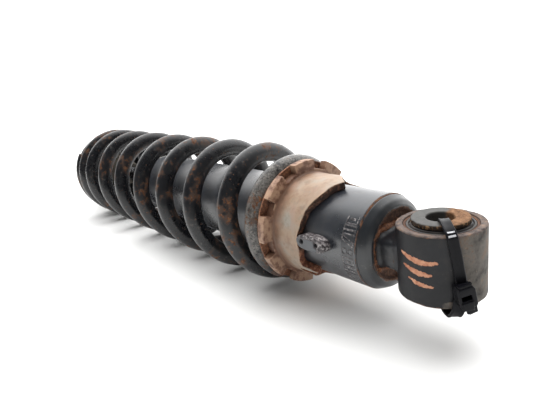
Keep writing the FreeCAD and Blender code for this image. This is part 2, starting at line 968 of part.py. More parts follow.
# Rod eye: one forging with a socket for the rod and the seat for the spring retainer.
eye_ring = turned("rod_eye_ring", eye_housing_profile(), "Z", "-eye_to_eye")
socket = turned(
    "rod_eye_socket",
    [
        ("rod_socket_end", "0"),
        ("rod_socket_end", "rod_radius"),
        ("retainer_back", "rod_radius"),
        ("retainer_back", "fitting_radius + 4"),
        ("retainer_back - 3", "fitting_radius + 4"),
        ("retainer_back - 5", "fitting_radius"),
        ("-eye_to_eye + 8", "fitting_radius"),
        ("-eye_to_eye + 8", "0"),
    ],
)
clearing = doc.addObject("Part::Cylinder", "rod_eye_clearing")
clearing.setExpression("Radius", bound("eye_outer"))
clearing.setExpression("Height", bound("6 * eye_half"))
clearing.setExpression("Placement.Base.x", bound("-eye_to_eye"))
clearing.setExpression("Placement.Base.z", bound("-3 * eye_half"))
stub = doc.addObject("Part::Cut", "rod_eye_stub")
stub.Base = socket
stub.Tool = clearing
fitting = doc.addObject("Part::Fuse", "rod_eye_housing")
fitting.Base = eye_ring
fitting.Tool = stub
fitting.Label = "rod_eye_housing"
nodes.append(fitting)
nodes += eye_inserts("rod_eye", "-eye_to_eye")

# ---------------------------------------------------------------- checks and export

doc.recompute()
bad = [o.Name for o in doc.Objects if "Invalid" in o.State or "Error" in o.State]
bad += [n.Label for n in nodes if n.Shape.isNull() or not n.Shape.isValid()]
if bad:
    sys.exit("failed objects: " + ", ".join(bad))

os.makedirs("parts", exist_ok=True)
for old in os.listdir("parts"):
    os.remove(os.path.join("parts", old))
for node in nodes:
    node.Shape.exportStep(os.path.join("parts", node.Label + ".step"))
    print("%-26s %10.1f mm3 %3d solids" % (node.Label, node.Shape.Volume, len(node.Shape.Solids)))
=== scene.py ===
"""A used coil-over rear shock absorber, lying on a pale studio floor.

The shock's axis is X and the body eye's bore is the origin. Sizes in this script are in millimetres
until a mesh is made, where they become metres.
"""

import json
import math

import bmesh
import bpy
import numpy as np
from mathutils import Matrix, Vector


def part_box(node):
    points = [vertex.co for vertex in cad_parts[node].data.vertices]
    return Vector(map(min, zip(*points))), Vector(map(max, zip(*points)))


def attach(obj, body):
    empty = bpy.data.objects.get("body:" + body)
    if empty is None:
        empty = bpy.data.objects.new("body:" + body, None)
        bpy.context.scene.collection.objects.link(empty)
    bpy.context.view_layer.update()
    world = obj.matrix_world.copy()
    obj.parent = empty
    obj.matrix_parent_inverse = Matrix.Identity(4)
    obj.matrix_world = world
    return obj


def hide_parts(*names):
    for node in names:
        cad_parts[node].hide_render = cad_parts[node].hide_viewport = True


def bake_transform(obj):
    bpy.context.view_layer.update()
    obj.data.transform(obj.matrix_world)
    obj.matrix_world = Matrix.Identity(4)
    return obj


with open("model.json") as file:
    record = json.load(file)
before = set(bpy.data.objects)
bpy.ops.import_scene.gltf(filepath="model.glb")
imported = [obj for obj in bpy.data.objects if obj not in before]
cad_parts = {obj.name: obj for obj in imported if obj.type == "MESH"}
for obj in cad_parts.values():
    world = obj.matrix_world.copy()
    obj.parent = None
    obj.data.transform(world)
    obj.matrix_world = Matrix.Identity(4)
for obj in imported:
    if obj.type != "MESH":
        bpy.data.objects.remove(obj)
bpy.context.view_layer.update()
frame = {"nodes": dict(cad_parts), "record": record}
MM = 0.001


def span(node):
    """Lowest and highest corners of a CAD node, in millimetres."""
    low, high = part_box(node)
    return np.array(low) / MM, np.array(high) / MM


# ------------------------------------------------------------------ numbers from the frame
EYE_LOW, EYE_HIGH = span("body_eye_housing")
EYE_R = EYE_HIGH[1]
EYE_HALF = EYE_HIGH[2]
FAR_EYE = (span("rod_eye_inner_tube")[0][0] + span("rod_eye_inner_tube")[1][0]) / 2
TUBE_END = span("damper_tube")[0][0]
TUBE_R = span("damper_tube")[1][2]
LUG_PHI = 175.0  # the seen lug's angle round the tube
LUG_TOP = 29.0  # and its height above the axis
COLLAR_TOP = span("body_eye_collars")[1][2]
COLLAR_R = span("body_eye_collars")[1][0]


# ------------------------------------------------------------------ small maths
def ease(t):
    t = np.clip(t, 0.0, 1.0)
    return t * t * (3 - 2 * t)


def ramp(x, low, high):
    return ease((np.asarray(x, float) - low) / (high - low))


def lattice(points, size, seed=0):
    """Smooth value noise in 0..1 on an N x 3 array, with blobs about size millimetres across."""
    p = np.asarray(points, float) / size + 37.0 * (seed + 1)
    base = np.floor(p).astype(np.int64)
    f = p - base
    f = f * f * (3 - 2 * f)
    total = np.zeros(len(p))
    for dx in (0, 1):
        for dy in (0, 1):
            for dz in (0, 1):
                h = (base[:, 0] + dx) * 374761393 + (base[:, 1] + dy) * 668265263
                h = h + (base[:, 2] + dz) * 2147483647 + seed * 974711
                h = (h ^ (h >> 13)) * 1274126177
                h = ((h ^ (h >> 16)) & 0xFFFFFF) / float(0xFFFFFF)
                w = (f[:, 0] if dx else 1 - f[:, 0]) * (f[:, 1] if dy else 1 - f[:, 1])
                total += h * w * (f[:, 2] if dz else 1 - f[:, 2])
    return total


def rough_noise(points, size, seed=0, octaves=3):
    total, weight = 0.0, 0.0
    for k in range(octaves):
        total = total + lattice(points, size / 2 ** k, seed + 5 * k) * 0.55 ** k
        weight += 0.55 ** k
    return total / weight


def turned_noise(a, r, t, size, seed, about="X"):
    """Rough noise on a turned surface, in the shape of its grid of (along, radius, angle)."""
    y, z = r * np.cos(t), r * np.sin(t)
    p = np.stack((a, y, z) if about == "X" else (y, z, a), -1)
    return rough_noise(p.reshape(-1, 3), size, seed).reshape(a.shape)


def unit(rows):
    return rows / np.linalg.norm(rows, axis=1)[:, None]


def curve_through(points, closed=False, parts=None, step=0.35):
    """A Catmull-Rom curve through points, each stretch in equal parts or in steps of a given length."""
    p = np.asarray(points, float)
    count = len(p)
    line = []
    for k in range(count if closed else count - 1):
        near = [(k + j) % count if closed else min(max(k + j, 0), count - 1) for j in (-1, 0, 1, 2)]
        a, b, c, d = p[near]
        pieces = parts or max(3, int(np.linalg.norm(c - b) / step))
        for t in np.arange(pieces) / pieces:
            line.append(0.5 * ((2 * b) + (c - a) * t + (2 * a - 5 * b + 4 * c - d) * t ** 2
                               + (3 * b - a - 3 * c + d) * t ** 3))
    return np.array(line if closed else line + [p[-1]])


def axes_matrix(x, y, z, centre):
    """A placement from three axis directions and a centre in millimetres."""
    return Matrix([(x[k], y[k], z[k], centre[k] * MM) for k in range(3)] + [(0, 0, 0, 1)])


# ------------------------------------------------------------------ mesh making
def add_mesh(name, points, faces):
    """A smooth-shaded mesh from points in millimetres."""
    data = bpy.data.meshes.new(name)
    data.from_pydata((np.asarray(points, float) * MM).tolist(), [], faces)
    data.validate()
    obj = bpy.data.objects.new(name, data)
    bpy.context.scene.collection.objects.link(obj)
    data.shade_smooth()
    return obj


def grid_faces(rows, cols, close_rows=False, close_cols=False):
    """Four-sided faces between neighbouring rows of points."""
    faces = []
    for i in range(rows if close_rows else rows - 1):
        j = (i + 1) % rows
        for k in range(cols if close_cols else cols - 1):
            m = (k + 1) % cols
            faces.append((i * cols + k, i * cols + m, j * cols + m, j * cols + k))
    return faces


def outward(obj):
    """Makes the faces of a closed mesh look outwards."""
    work = bmesh.new()
    work.from_mesh(obj.data)
    bmesh.ops.recalc_face_normals(work, faces=work.faces)
    if work.calc_volume(signed=True) < 0:
        bmesh.ops.reverse_faces(work, faces=work.faces)
    work.to_mesh(obj.data)
    work.free()
    return obj


def rounded(corners, arc=5, longest=3.0):
    """A closed 2-D outline whose corners (a, b, fillet) are rounded and whose long sides are divided."""
    pts = []
    count = len(corners)
    for i, (a, b, fillet) in enumerate(corners):
        p = np.array((a, b), float)
        u = np.array(corners[i - 1][:2], float) - p
        v = np.array(corners[(i + 1) % count][:2], float) - p
        lu, lv = np.linalg.norm(u), np.linalg.norm(v)
        u, v = u / lu, v / lv
        half = math.acos(float(np.clip(u @ v, -1, 1))) / 2
        if fillet <= 0 or half > math.pi / 2 - 0.02:
            pts.append(p)
            continue
        reach = min(fillet / math.tan(half), 0.46 * lu, 0.46 * lv)
        radius = reach * math.tan(half)
        middle = (u + v) / np.linalg.norm(u + v)
        centre = p + middle * radius / math.sin(half)
        s, e = p + u * reach - centre, p + v * reach - centre
        swing = math.atan2(s[0] * e[1] - s[1] * e[0], float(s @ e))
        pts.append(centre + s + u * min(0.35 * reach, 0.02 * lu))
        for k in range(arc + 1):
            t = swing * k / arc
            c, n = math.cos(t), math.sin(t)
            pts.append(centre + np.array((c * s[0] - n * s[1], n * s[0] + c * s[1])))
        pts.append(centre + e + v * min(0.35 * reach, 0.02 * lv))
    out = []
    for i, p in enumerate(pts):
        q = pts[(i + 1) % len(pts)]
        parts = int(np.linalg.norm(q - p) // longest)
        out += [p] + [p + (q - p) * (k + 1) / (parts + 1) for k in range(parts)]
    return np.array(out)


def lathe(name, outline, about="X", at=0.0, around=128, shape=None, longest=3.0, arc=5):
    """A closed outline of (along, radius, fillet) corners, turned about X or Z."""
    line = rounded(outline, arc=arc, longest=longest)
    angle = np.linspace(0, 2 * np.pi, around, endpoint=False)
    a = np.repeat(line[:, 0][None, :], around, 0)
    r = np.repeat(line[:, 1][None, :], around, 0)
    t = np.repeat(angle[:, None], len(line), 1)
    if shape:
        a, r = shape(a, r, t)
    if about == "X":
        p = np.stack((a, r * np.cos(t), r * np.sin(t)), -1)
    else:
        p = np.stack((r * np.cos(t) + at, r * np.sin(t), a), -1)
    faces = grid_faces(around, len(line), True, True)
    return outward(add_mesh(name, p.reshape(-1, 3), faces))


def store(obj, name, values):
    data = obj.data.attributes.get(name) or obj.data.attributes.new(name, "FLOAT", "POINT")
    data.data.foreach_set("value", np.asarray(values, np.float32))


def coords(obj):
    co = np.empty(len(obj.data.vertices) * 3)
    obj.data.vertices.foreach_get("co", co)
    return co.reshape(-1, 3) / MM


def mark_edges(obj, reach=1.0, spread=2):
    """Stores how sharp and convex the surface is at each vertex, as attribute edge."""
    p = coords(obj)
    n = np.empty(len(p) * 3)
    obj.data.vertices.foreach_get("normal", n)
    n = n.reshape(-1, 3)
    e = np.empty(len(obj.data.edges) * 2, np.int64)
    obj.data.edges.foreach_get("vertices", e)
    i, j = e.reshape(-1, 2).T
    d = p[i] - p[j]
    size = np.maximum((d * d).sum(1), 1e-4)
    bend_i = 2 * (n[i] * d).sum(1) / size
    bend_j = -2 * (n[j] * d).sum(1) / size
    most = np.zeros(len(p))
    np.maximum.at(most, i, bend_i)
    np.maximum.at(most, j, bend_j)
    least = np.zeros(len(p))
    np.minimum.at(least, i, bend_i)
    np.minimum.at(least, j, bend_j)
    for values, label in ((most, "edge"), (-least, "hollow")):
        level = np.clip(values * reach, 0, 1)
        for _ in range(spread):
            wide = level.copy()
            np.maximum.at(wide, i, level[j] * 0.6)
            np.maximum.at(wide, j, level[i] * 0.6)
            level = wide
        store(obj, label, level)
    return obj


def join(name, pieces):
    """One mesh from several, with their attributes."""
    for o in bpy.context.selected_objects:
        o.select_set(False)
    for o in pieces:
        o.select_set(True)
    bpy.context.view_layer.objects.active = pieces[0]
    bpy.ops.object.join()
    pieces[0].name = name
    pieces[0].data.name = name
    return pieces[0]


def flat_curve(name, loops, half, bevel, place, arc=2, grid=None):
    """Closed outlines filled as one plate (inner ones are holes), with rounded edges, then placed.

    With a grid size in millimetres the plate is cut along evenly spaced lines, for finer wear.
    """
    data = bpy.data.curves.new(name, "CURVE")
    data.dimensions = "2D"
    data.fill_mode = "BOTH"
    for loop in loops:
        spline = data.splines.new("POLY")
        spline.points.add(len(loop) - 1)
        spline.points.foreach_set("co", np.c_[np.asarray(loop) * MM, np.zeros(len(loop)),
                                              np.ones(len(loop))].ravel())
        spline.use_cyclic_u = True
    data.extrude = (half - bevel) * MM
    data.bevel_depth = bevel * MM
    data.bevel_resolution = arc
    data.offset = -bevel * MM
    temporary = bpy.data.objects.new(name + "_curve", data)
    bpy.context.scene.collection.objects.link(temporary)
    bpy.context.view_layer.update()
    mesh = bpy.data.meshes.new_from_object(temporary)
    bpy.data.objects.remove(temporary)
    bpy.data.curves.remove(data)
    work = bmesh.new()
    work.from_mesh(mesh)
    bmesh.ops.remove_doubles(work, verts=work.verts, dist=2e-6)
    for axis in (0, 1) if grid else ():
        places = np.concatenate(loops)[:, axis]
        normal = (1, 0, 0) if axis == 0 else (0, 1, 0)
        for cut in np.arange(places.min() + grid / 2, places.max(), grid):
            everything = work.verts[:] + work.edges[:] + work.faces[:]
            bmesh.ops.bisect_plane(work, geom=everything, dist=1e-6, plane_no=normal,
                                   plane_co=tuple(c * cut * MM for c in normal))
    bmesh.ops.transform(work, matrix=place, verts=work.verts)
    work.to_mesh(mesh)
    work.free()
    obj = bpy.data.objects.new(name, mesh)
    bpy.context.scene.collection.objects.link(obj)
    return outward(obj)


def crease_normals(obj, degrees=35):
    """Smooth shading that stops at sharp edges."""
    bpy.context.view_layer.objects.active = obj
    for o in bpy.context.selected_objects:
        o.select_set(False)
    obj.select_set(True)
    bpy.ops.object.shade_smooth_by_angle(angle=math.radians(degrees))
    return obj


# ------------------------------------------------------------------ materials
class Look:
    """Builds one material; each call adds a node and gives its output socket."""

    def __init__(self, name, roughness=0.5, metallic=0.0, specular=0.5):
        self.material = bpy.data.materials.new(name)
        self.material.use_nodes = True
        self.tree = self.material.node_tree
        self.shader = self.tree.nodes["Principled BSDF"]
        levels = {"Roughness": roughness, "Metallic": metallic, "Specular IOR Level": specular}
        for key, value in levels.items():
            self.shader.inputs[key].default_value = value
        self.where = self.make("ShaderNodeTexCoord", {}, "Object")

    def make(self, kind, inputs, output=0, **settings):
        """Adds a node, sets or links its inputs and gives one of its outputs."""
        node = self.tree.nodes.new(kind)
        for key, value in settings.items():
            setattr(node, key, value)
        for key, value in inputs.items():
            self.feed(node.inputs[key], value)
        return node.outputs[output]

    def feed(self, socket, value):
        if isinstance(value, bpy.types.NodeSocket):
            self.tree.links.new(value, socket)
        elif isinstance(value, (tuple, list)) and socket.type == "RGBA":
            socket.default_value = (*value, 1.0) if len(value) == 3 else value
        else:
            socket.default_value = value

    def noise(self, size, detail=4.0, rough=0.55, at=None):
        """Noise whose blobs are about size millimetres across."""
        inputs = {"Vector": at or self.where, "Scale": 1.0 / (size * MM), "Detail": detail,
                  "Roughness": rough}
        return self.make("ShaderNodeTexNoise", inputs, "Fac")

    def cells(self, size):
        inputs = {"Vector": self.where, "Scale": 1.0 / (size * MM)}
        return self.make("ShaderNodeTexVoronoi", inputs, "Distance")

    def stretched(self, x, y, z):
        inputs = {"Vector": self.where, "Scale": (1 / x, 1 / y, 1 / z)}
        return self.make("ShaderNodeMapping", inputs, "Vector")

    def stored(self, name, output="Fac"):
        return self.make("ShaderNodeAttribute", {}, output, attribute_name=name)

    def do(self, operation, a, b=0.0, clamp=False):
        return self.make("ShaderNodeMath", {0: a, 1: b}, operation=operation, use_clamp=clamp)

    def times(self, a, b):
        return self.do("MULTIPLY", a, b)

    def plus(self, a, b):
        return self.do("ADD", a, b)

    def less(self, a, b):
        return self.do("SUBTRACT", a, b)

    def step(self, value, low, high, to_low=0.0, to_high=1.0):
        """A smooth step of a value between two levels."""
        inputs = {"Value": value, "From Min": low, "From Max": high, "To Min": to_low, "To Max": to_high}
        return self.make("ShaderNodeMapRange", inputs, "Result", interpolation_type="SMOOTHSTEP", clamp=True)

    def mix(self, amount, a, b):
        """A blend of two colours."""
        return self.make("ShaderNodeMix", {0: amount, 6: a, 7: b}, 2, data_type="RGBA", blend_type="MIX")

    def level(self, amount, a, b):
        """A blend of two numbers."""
        return self.make("ShaderNodeMix", {0: amount, 2: a, 3: b}, 0, data_type="FLOAT")

    def spotted(self, colour, *layers):
        """A colour under layers of spots: (size, detail, roughness, low, high, strength, shade)."""
        for size, detail, rough, low, high, strength, shade in layers:
            spots = self.step(self.noise(size, detail, rough), low, high, 0.0, strength)
            colour = self.mix(spots, colour, shade)
        return colour

    def colours(self, amount, *stops):
        """A colour ramp with stops of (place, colour)."""
        shade = self.make("ShaderNodeValToRGB", {"Fac": amount}, "Color")
        marks = shade.node.color_ramp.elements
        while len(marks) < len(stops):
            marks.new(0.5)
        for mark, (where, colour) in zip(marks, stops):
            mark.position = where
            mark.color = (*colour, 1.0)
        return shade

    def bump(self, height, depth, strength=1.0, onto=None):
        """Bump from a 0..1 height that stands depth millimetres tall."""
        inputs = {"Strength": strength, "Distance": depth * MM, "Height": height}
        if onto:
            inputs["Normal"] = onto
        return self.make("ShaderNodeBump", inputs, "Normal")

    def finish(self, colour, roughness=None, normal=None, metallic=None):
        sockets = {"Base Color": colour, "Roughness": roughness, "Metallic": metallic, "Normal": normal}
        for key, value in sockets.items():
            if value is not None:
                self.feed(self.shader.inputs[key], value)
        return self.material


RUST_DARK = (0.028, 0.012, 0.007)
RUST_MID = (0.10, 0.043, 0.022)
RUST_PALE = (0.25, 0.125, 0.065)


def rust_colour(look, at=None):
    grain = look.noise(1.6, 6.0, 0.7, at=at)
    return look.colours(grain, (0.30, RUST_DARK), (0.50, RUST_MID), (0.74, RUST_PALE))


def enamel_layers(look, base, gloss, chips, dust, scuffs, masks=True, bright=False):
    """Colour, roughness and relief of old enamel, chipped to rust or, if bright, to steel."""
    broad = look.noise(26.0, 3.0)
    middle = look.noise(5.5, 5.0, 0.6)
    fine = look.noise(0.9, 6.0, 0.7)
    colour = look.mix(look.step(broad, 0.3, 0.7), base, tuple(c * 1.7 + 0.003 for c in base))
    film = look.times(look.step(middle, 0.42, 0.75), look.step(broad, 0.35, 0.65))
    film = look.times(film, dust)
    colour = look.mix(film, colour, (0.055, 0.048, 0.041))
    lines = look.noise(1.0, 3.0, 0.6, at=look.stretched(6.0, 0.7, 0.7))
    scrape = look.times(look.step(lines, 0.60, 0.72), look.step(middle, 0.48, 0.62))
    colour = look.mix(look.times(scrape, scuffs), colour, (0.115, 0.112, 0.11))
    wear = look.times(look.step(middle, 0.60, 0.74), 0.5 * chips)
    if masks:
        wear = look.plus(wear, look.times(look.stored("edge"), 0.55 * chips))
        wear = look.plus(wear, look.stored("rust"))
    chip = look.step(look.times(wear, look.step(fine, 0.25, 0.62)), 0.22, 0.34)
    worn = rust_colour(look)
    if bright:
        worn = look.colours(look.noise(1.5, 5.0, 0.62), (0.42, (0.014, 0.011, 0.012)),
                            (0.52, (0.085, 0.073, 0.075)), (0.62, (0.30, 0.28, 0.275)))
    colour = look.mix(chip, colour, worn)
    roughness = look.level(film, look.step(broad, 0.3, 0.7, gloss, gloss + 0.12), 0.55)
    roughness = look.level(chip, roughness, 0.55 if bright else 0.85)
    relief = look.bump(look.noise(1.7, 2.0), 0.045, 0.6)
    relief = look.bump(look.level(chip, 1.0, look.times(fine, 0.7)), 0.16, 0.9, onto=relief)
    return colour, roughness, relief


def enamel(name, base=(0.008, 0.009, 0.011), gloss=0.27, chips=1.0, dust=0.3, scuffs=0.4, shine=0.5, **more):
    """Old black enamel: dust film, pale scuffs and chips."""
    look = Look(name, roughness=gloss, specular=shine)
    return look.finish(*enamel_layers(look, base, gloss, chips, dust, scuffs, **more))


def bare_rust(name, tint=1.0):
    """Coarse brown and orange rust without paint."""
    look = Look(name, roughness=0.85, specular=0.3)
    broad = look.noise(7.0, 4.0, 0.6)
    grain = look.noise(1.2, 7.0, 0.72)
    stops = [(0.28, (0.030, 0.014, 0.009)), (0.47, (0.115, 0.052, 0.030)), (0.62, (0.23, 0.105, 0.055)),
             (0.80, (0.42, 0.22, 0.11))]
    colour = look.colours(grain, *[(mark, tuple(c * tint for c in shade)) for mark, shade in stops])
    colour = look.mix(look.step(broad, 0.52, 0.72, 0.0, 0.75), colour, (0.028, 0.024, 0.023))
    relief = look.bump(grain, 0.30, 0.9)
    relief = look.bump(broad, 0.35, 0.6, onto=relief)
    return look.finish(colour, look.step(grain, 0.3, 0.8, 0.62, 0.95), relief)


def metal(name, colour, gloss, metallic, tarnish):
    """Plain machined or plated metal with turning lines, haze and a little tarnish."""
    look = Look(name, roughness=gloss, metallic=metallic)
    broad = look.noise(9.0, 4.0, 0.6)
    lines = look.noise(1.0, 2.0, at=look.stretched(0.35, 8.0, 8.0))
    dull = tuple(c * 0.45 + 0.02 for c in colour)
    shade = look.mix(look.step(broad, 0.40, 0.75, 0.0, tarnish), colour, dull)
    spots = look.step(look.noise(1.8, 6.0, 0.7), 0.62, 0.72, 0.0, tarnish)
    shade = look.mix(spots, shade, RUST_MID)
    roughness = look.level(look.step(broad, 0.3, 0.8), gloss, min(1.0, gloss + 0.22))
    return look.finish(shade, roughness, look.bump(lines, 0.02, 0.5),
                       look.less(metallic, look.times(spots, metallic)))


def rubber(name, colour=(0.016, 0.016, 0.017), gloss=0.55, dust=0.5):
    """Black rubber under dust."""
    look = Look(name, roughness=gloss, specular=0.4)
    shade = look.spotted(colour, (6.0, 4.0, 0.6, 0.40, 0.75, dust, (0.11, 0.098, 0.085)),
                         (0.5, 5.0, 0.65, 0.58, 0.75, 0.5 * dust, (0.16, 0.145, 0.125)))
    roughness = look.step(look.noise(6.0, 4.0, 0.6), 0.3, 0.7, gloss, gloss + 0.25)
    return look.finish(shade, roughness, look.bump(look.noise(0.5, 5.0, 0.65), 0.06, 0.7))


def foam(name):
    """Porous dark foam."""
    look = Look(name, roughness=0.9, specular=0.25)
    pores = look.cells(0.9)
    broad = look.noise(8.0, 4.0)
    shade = look.colours(look.times(pores, 1.2), (0.10, (0.015, 0.014, 0.012)),
                         (0.55, (0.075, 0.068, 0.058)))
    shade = look.mix(look.step(broad, 0.45, 0.75, 0.0, 0.4), shade, (0.14, 0.11, 0.08))
    return look.finish(shade, None, look.bump(pores, 0.25, 0.8))


def plastic(name, colour, gloss=0.45, dirt=0.4):
    """Moulded plastic with dirt in it."""
    look = Look(name, roughness=gloss)
    shade = look.spotted(colour, (7.0, 5.0, 0.6, 0.40, 0.72, dirt, tuple(c * 0.35 for c in colour)),
                         (0.8, 5.0, 0.6, 0.60, 0.74, dirt, (0.10, 0.06, 0.035)))
    roughness = look.step(look.noise(7.0, 5.0, 0.6), 0.3, 0.7, gloss, gloss + 0.15)
    return look.finish(shade, roughness, look.bump(look.noise(0.8, 5.0, 0.6), 0.04, 0.5))


# ------------------------------------------------------------------ which body each node rides on
BODY_OF = {node: body for body, nodes in frame["record"]["behaviour"]["bodies"].items() for node in nodes}


def place_piece(obj, material, slot, *nodes, body=None):
    """Gives a piece its material, lets it ride with its body and stand for its CAD nodes."""
    obj.data.materials.clear()
    obj.data.materials.append(material)
    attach(obj, body or BODY_OF[nodes[0]])
    if nodes:
        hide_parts(*nodes)
    return obj


def azimuth(p, at=0.0):
    """Angle about an eye's Z, from +X, in degrees."""
    return np.degrees(np.arctan2(p[:, 1], p[:, 0] - at))


def about_x(p):
    """Angle about the shock's axis, from +Y towards +Z, in degrees 0..360."""
    return np.degrees(np.arctan2(p[:, 2], p[:, 1])) % 360.0


# ------------------------------------------------------------------ eyes
# The painted mark is three plain brush swipes: azimuth, height, half width and how dry the brush was.
DAUB = [
    [(-113.0, 6.4, 0.7, 0.2), (-103.0, 5.6, 1.1, 0.0), (-90.0, 4.6, 1.4, 0.0), (-76.0, 4.2, 1.2, 0.2),
     (-63.0, 4.6, 0.8, 0.4)],
    [(-109.0, 1.2, 0.6, 0.3), (-97.0, 0.1, 1.2, 0.0), (-84.0, -0.8, 1.4, 0.0), (-70.0, -1.0, 0.8, 0.4)],
    [(-101.0, -4.0, 0.5, 0.3), (-91.0, -5.2, 1.0, 0.1), (-80.0, -6.0, 1.1, 0.0), (-68.0, -6.2, 0.5, 0.4)],
]


def daub_fields(u, v):
    """Signed distance to the daub's edge and its dryness, at points (u, v) in millimetres."""
    near, dry = np.full(len(u), 9.0), np.zeros(len(u))
    for line in DAUB:
        for (a0, b0, w0, d0), (a1, b1, w1, d1) in zip(line, line[1:]):
            x0, x1 = math.radians(a0) * EYE_R, math.radians(a1) * EYE_R
            du, dv = x1 - x0, b1 - b0
            t = np.clip(((u - x0) * du + (v - b0) * dv) / (du * du + dv * dv), 0, 1)
            gap = np.hypot(u - x0 - t * du, v - b0 - t * dv) - (w0 + (w1 - w0) * t)
            closer = gap < near
            near = np.where(closer, gap, near)
            dry = np.where(closer, d0 + (d1 - d0) * t, dry)
    return near, dry


def eye_paint(name, marked):
    """Black enamel on the eye housing, rubbed to brown-grey steel on one side; on the body's eye that lighter
    side is also a painted reflection.
    """
    look = Look(name, roughness=0.35, specular=0.22)
    base, dull, relief = enamel_layers(look, (0.008, 0.0082, 0.0095), 0.35, 0.6, 0.2, 0.2)
    patches = look.noise(9.0, 5.0, 0.62)
    bare = look.colours(patches, (0.36, (0.026, 0.023, 0.021)), (0.46, (0.080, 0.071, 0.062)),
                        (0.55, (0.110, 0.098, 0.086)), (0.66, (0.140, 0.098, 0.072)))
    bare = look.spotted(bare, (1.3, 6.0, 0.7, 0.52, 0.70, 0.5, (0.035, 0.029, 0.025)),
                        (5.0, 6.0, 0.68, 0.56, 0.66, 0.75, (0.105, 0.058, 0.036)),
                        (1.7, 5.0, 0.7, 0.63, 0.70, 0.8, (0.22, 0.175, 0.125)))
    ring = look.colours(look.noise(3.6, 6.0, 0.7), (0.34, (0.026, 0.019, 0.017)),
                        (0.47, (0.085, 0.066, 0.060)),
                        (0.58, (0.125, 0.088, 0.068)), (0.68, (0.26, 0.155, 0.095)))
    bare = look.mix(look.stored("top"), bare, ring)
    # Brown-grey shows where the enamel is worn; on the body's eye the lighter side is also a painted
    # reflection that brightens that side.
    wear_and_reflection = look.plus(look.stored("worn"), look.times(look.less(patches, 0.5), 0.9))
    wear_and_reflection = look.step(wear_and_reflection, 0.38, 0.62)
    colour = look.mix(wear_and_reflection, base, bare)
    roughness = look.level(wear_and_reflection, dull, 0.66)
    if marked:
        ragged = look.times(look.less(look.noise(1.1, 4.0, 0.65), 0.5), 1.9)
        daub = look.step(look.plus(look.stored("stroke"), ragged), -0.04, -0.22)
        thin = look.plus(look.stored("dry"), look.noise(1.1, 3.0, 0.6))
        daub = look.times(daub, look.step(thin, 1.22, 1.06))
        paint = look.colours(look.noise(2.4, 4.0), (0.36, (0.36, 0.135, 0.075)), (0.64, (0.55, 0.29, 0.18)))
        colour = look.mix(daub, colour, paint)
        roughness = look.level(daub, roughness, 0.6)
        relief = look.bump(daub, 0.12, 0.9, onto=relief)
    return look.finish(colour, roughness, relief)


def eye_outline():
    bore = span("body_eye_bush_sleeve")[1][1]
    return [
        (-EYE_HALF, bore + 0.1, 0.35), (-EYE_HALF, EYE_R, 0.75), (EYE_HALF, EYE_R, 0.75),
        (EYE_HALF, bore + 0.1, 0.35), (EYE_HALF - 1.2, bore, 0.4), (-EYE_HALF + 1.2, bore, 0.4),
    ]


def dented_eye(a, r, t):
    """Small knocks round the eye's two rims."""
    knocks = turned_noise(a, r, t, 5.0, 3, "Z") - 0.5
    rim = ramp(np.abs(a), EYE_HALF - 3.0, EYE_HALF) * ramp(r, EYE_R - 3.4, EYE_R - 0.6)
    return a - np.sign(a) * np.clip(knocks, 0, 1) * 0.9 * rim, r - np.clip(knocks - 0.05, 0, 1) * 0.9 * rim


def rod_fitting(at):
    """The stub between the far eye and the spring's seat, hollowed for the rod."""
    back = span("spring_retainer")[0][0]
    rod_end, rod_r = span("damper_rod")[0][0] - 0.1, span("damper_rod")[1][2] + 0.05
    outline = [
        (back, rod_r, 0.0), (back, 19.5, 0.5), (back - 3.0, 19.5, 0.6), (back - 5.0, 15.5, 1.2),
        (at + 14.0, 15.5, 0.0), (at + 14.0, 0.5, 0.0), (rod_end, 0.5, 0.0), (rod_end, rod_r, 0.0),
    ]

    def saddle(a, r, t):
        seat = at + np.sqrt(17.4 ** 2 - np.minimum(np.abs(r * np.cos(t)), 17.0) ** 2)
        return np.where(a < at + 14.1, seat, a), r

    return lathe("rod_fitting", outline, "X", 0.0, 128, saddle, longest=2.0)


def build_eye(prefix, at, marked):
    """The eye housing, with the painted mark on the body's eye and the rod's fitting on the other."""
    house = lathe(prefix + "_housing_look", eye_outline(), "Z", at, 380 if marked else 240, dented_eye,
                  longest=0.45 if marked else 1.0)
    if not marked:
        house = join(house.name, [house, rod_fitting(at)])
    mark_edges(house, 0.8)
    p = coords(house)
    az = azimuth(p, at)
    top = ramp(p[:, 2], EYE_HALF - 1.0, EYE_HALF - 0.2)
    spots = rough_noise(p, 6.0, 8)
    rim = np.hypot(p[:, 0] - at, p[:, 1]) / EYE_R
    store(house, "top", top)
    store(house, "rust", 0.35 * top * ramp(spots, 0.40, 0.65) + 0.04 * ramp(spots, 0.66, 0.8)
          + 0.12 * ramp(-p[:, 2], EYE_HALF - 3.0, EYE_HALF))
    if marked:
        # Past this line the eye is worn brown-grey steel, which also serves as a painted reflection
        # lightening this side.
        wear_and_reflection_border = np.interp(p[:, 2], (-14.0, -3.8, 3.9, 14.8), (-24.0, -26.6, -31.9, -35.8))
        side = ramp(az - wear_and_reflection_border, -6.0, 6.0) * ramp(-az, -150.0, -120.0)
        low = ramp(-p[:, 2], 11.0, 14.0) * ramp(az, -66.0, -50.0) * ramp(-az, -150.0, -120.0)
        store(house, "worn", np.maximum(np.maximum(side, 0.75 * low), 0.9 * top))
        near, dry = daub_fields(np.radians(az) * EYE_R, p[:, 2])
        store(house, "stroke", np.minimum(near, 5.0) + 5.0 * (rim < 0.97))
        store(house, "dry", dry)
    else:
        store(house, "worn", 0.55 * ramp(rough_noise(p, 14.0, 21), 0.5, 0.62))
    place_piece(house, eye_paint(prefix + "_paint", marked), "black_enamel", prefix + "_housing")


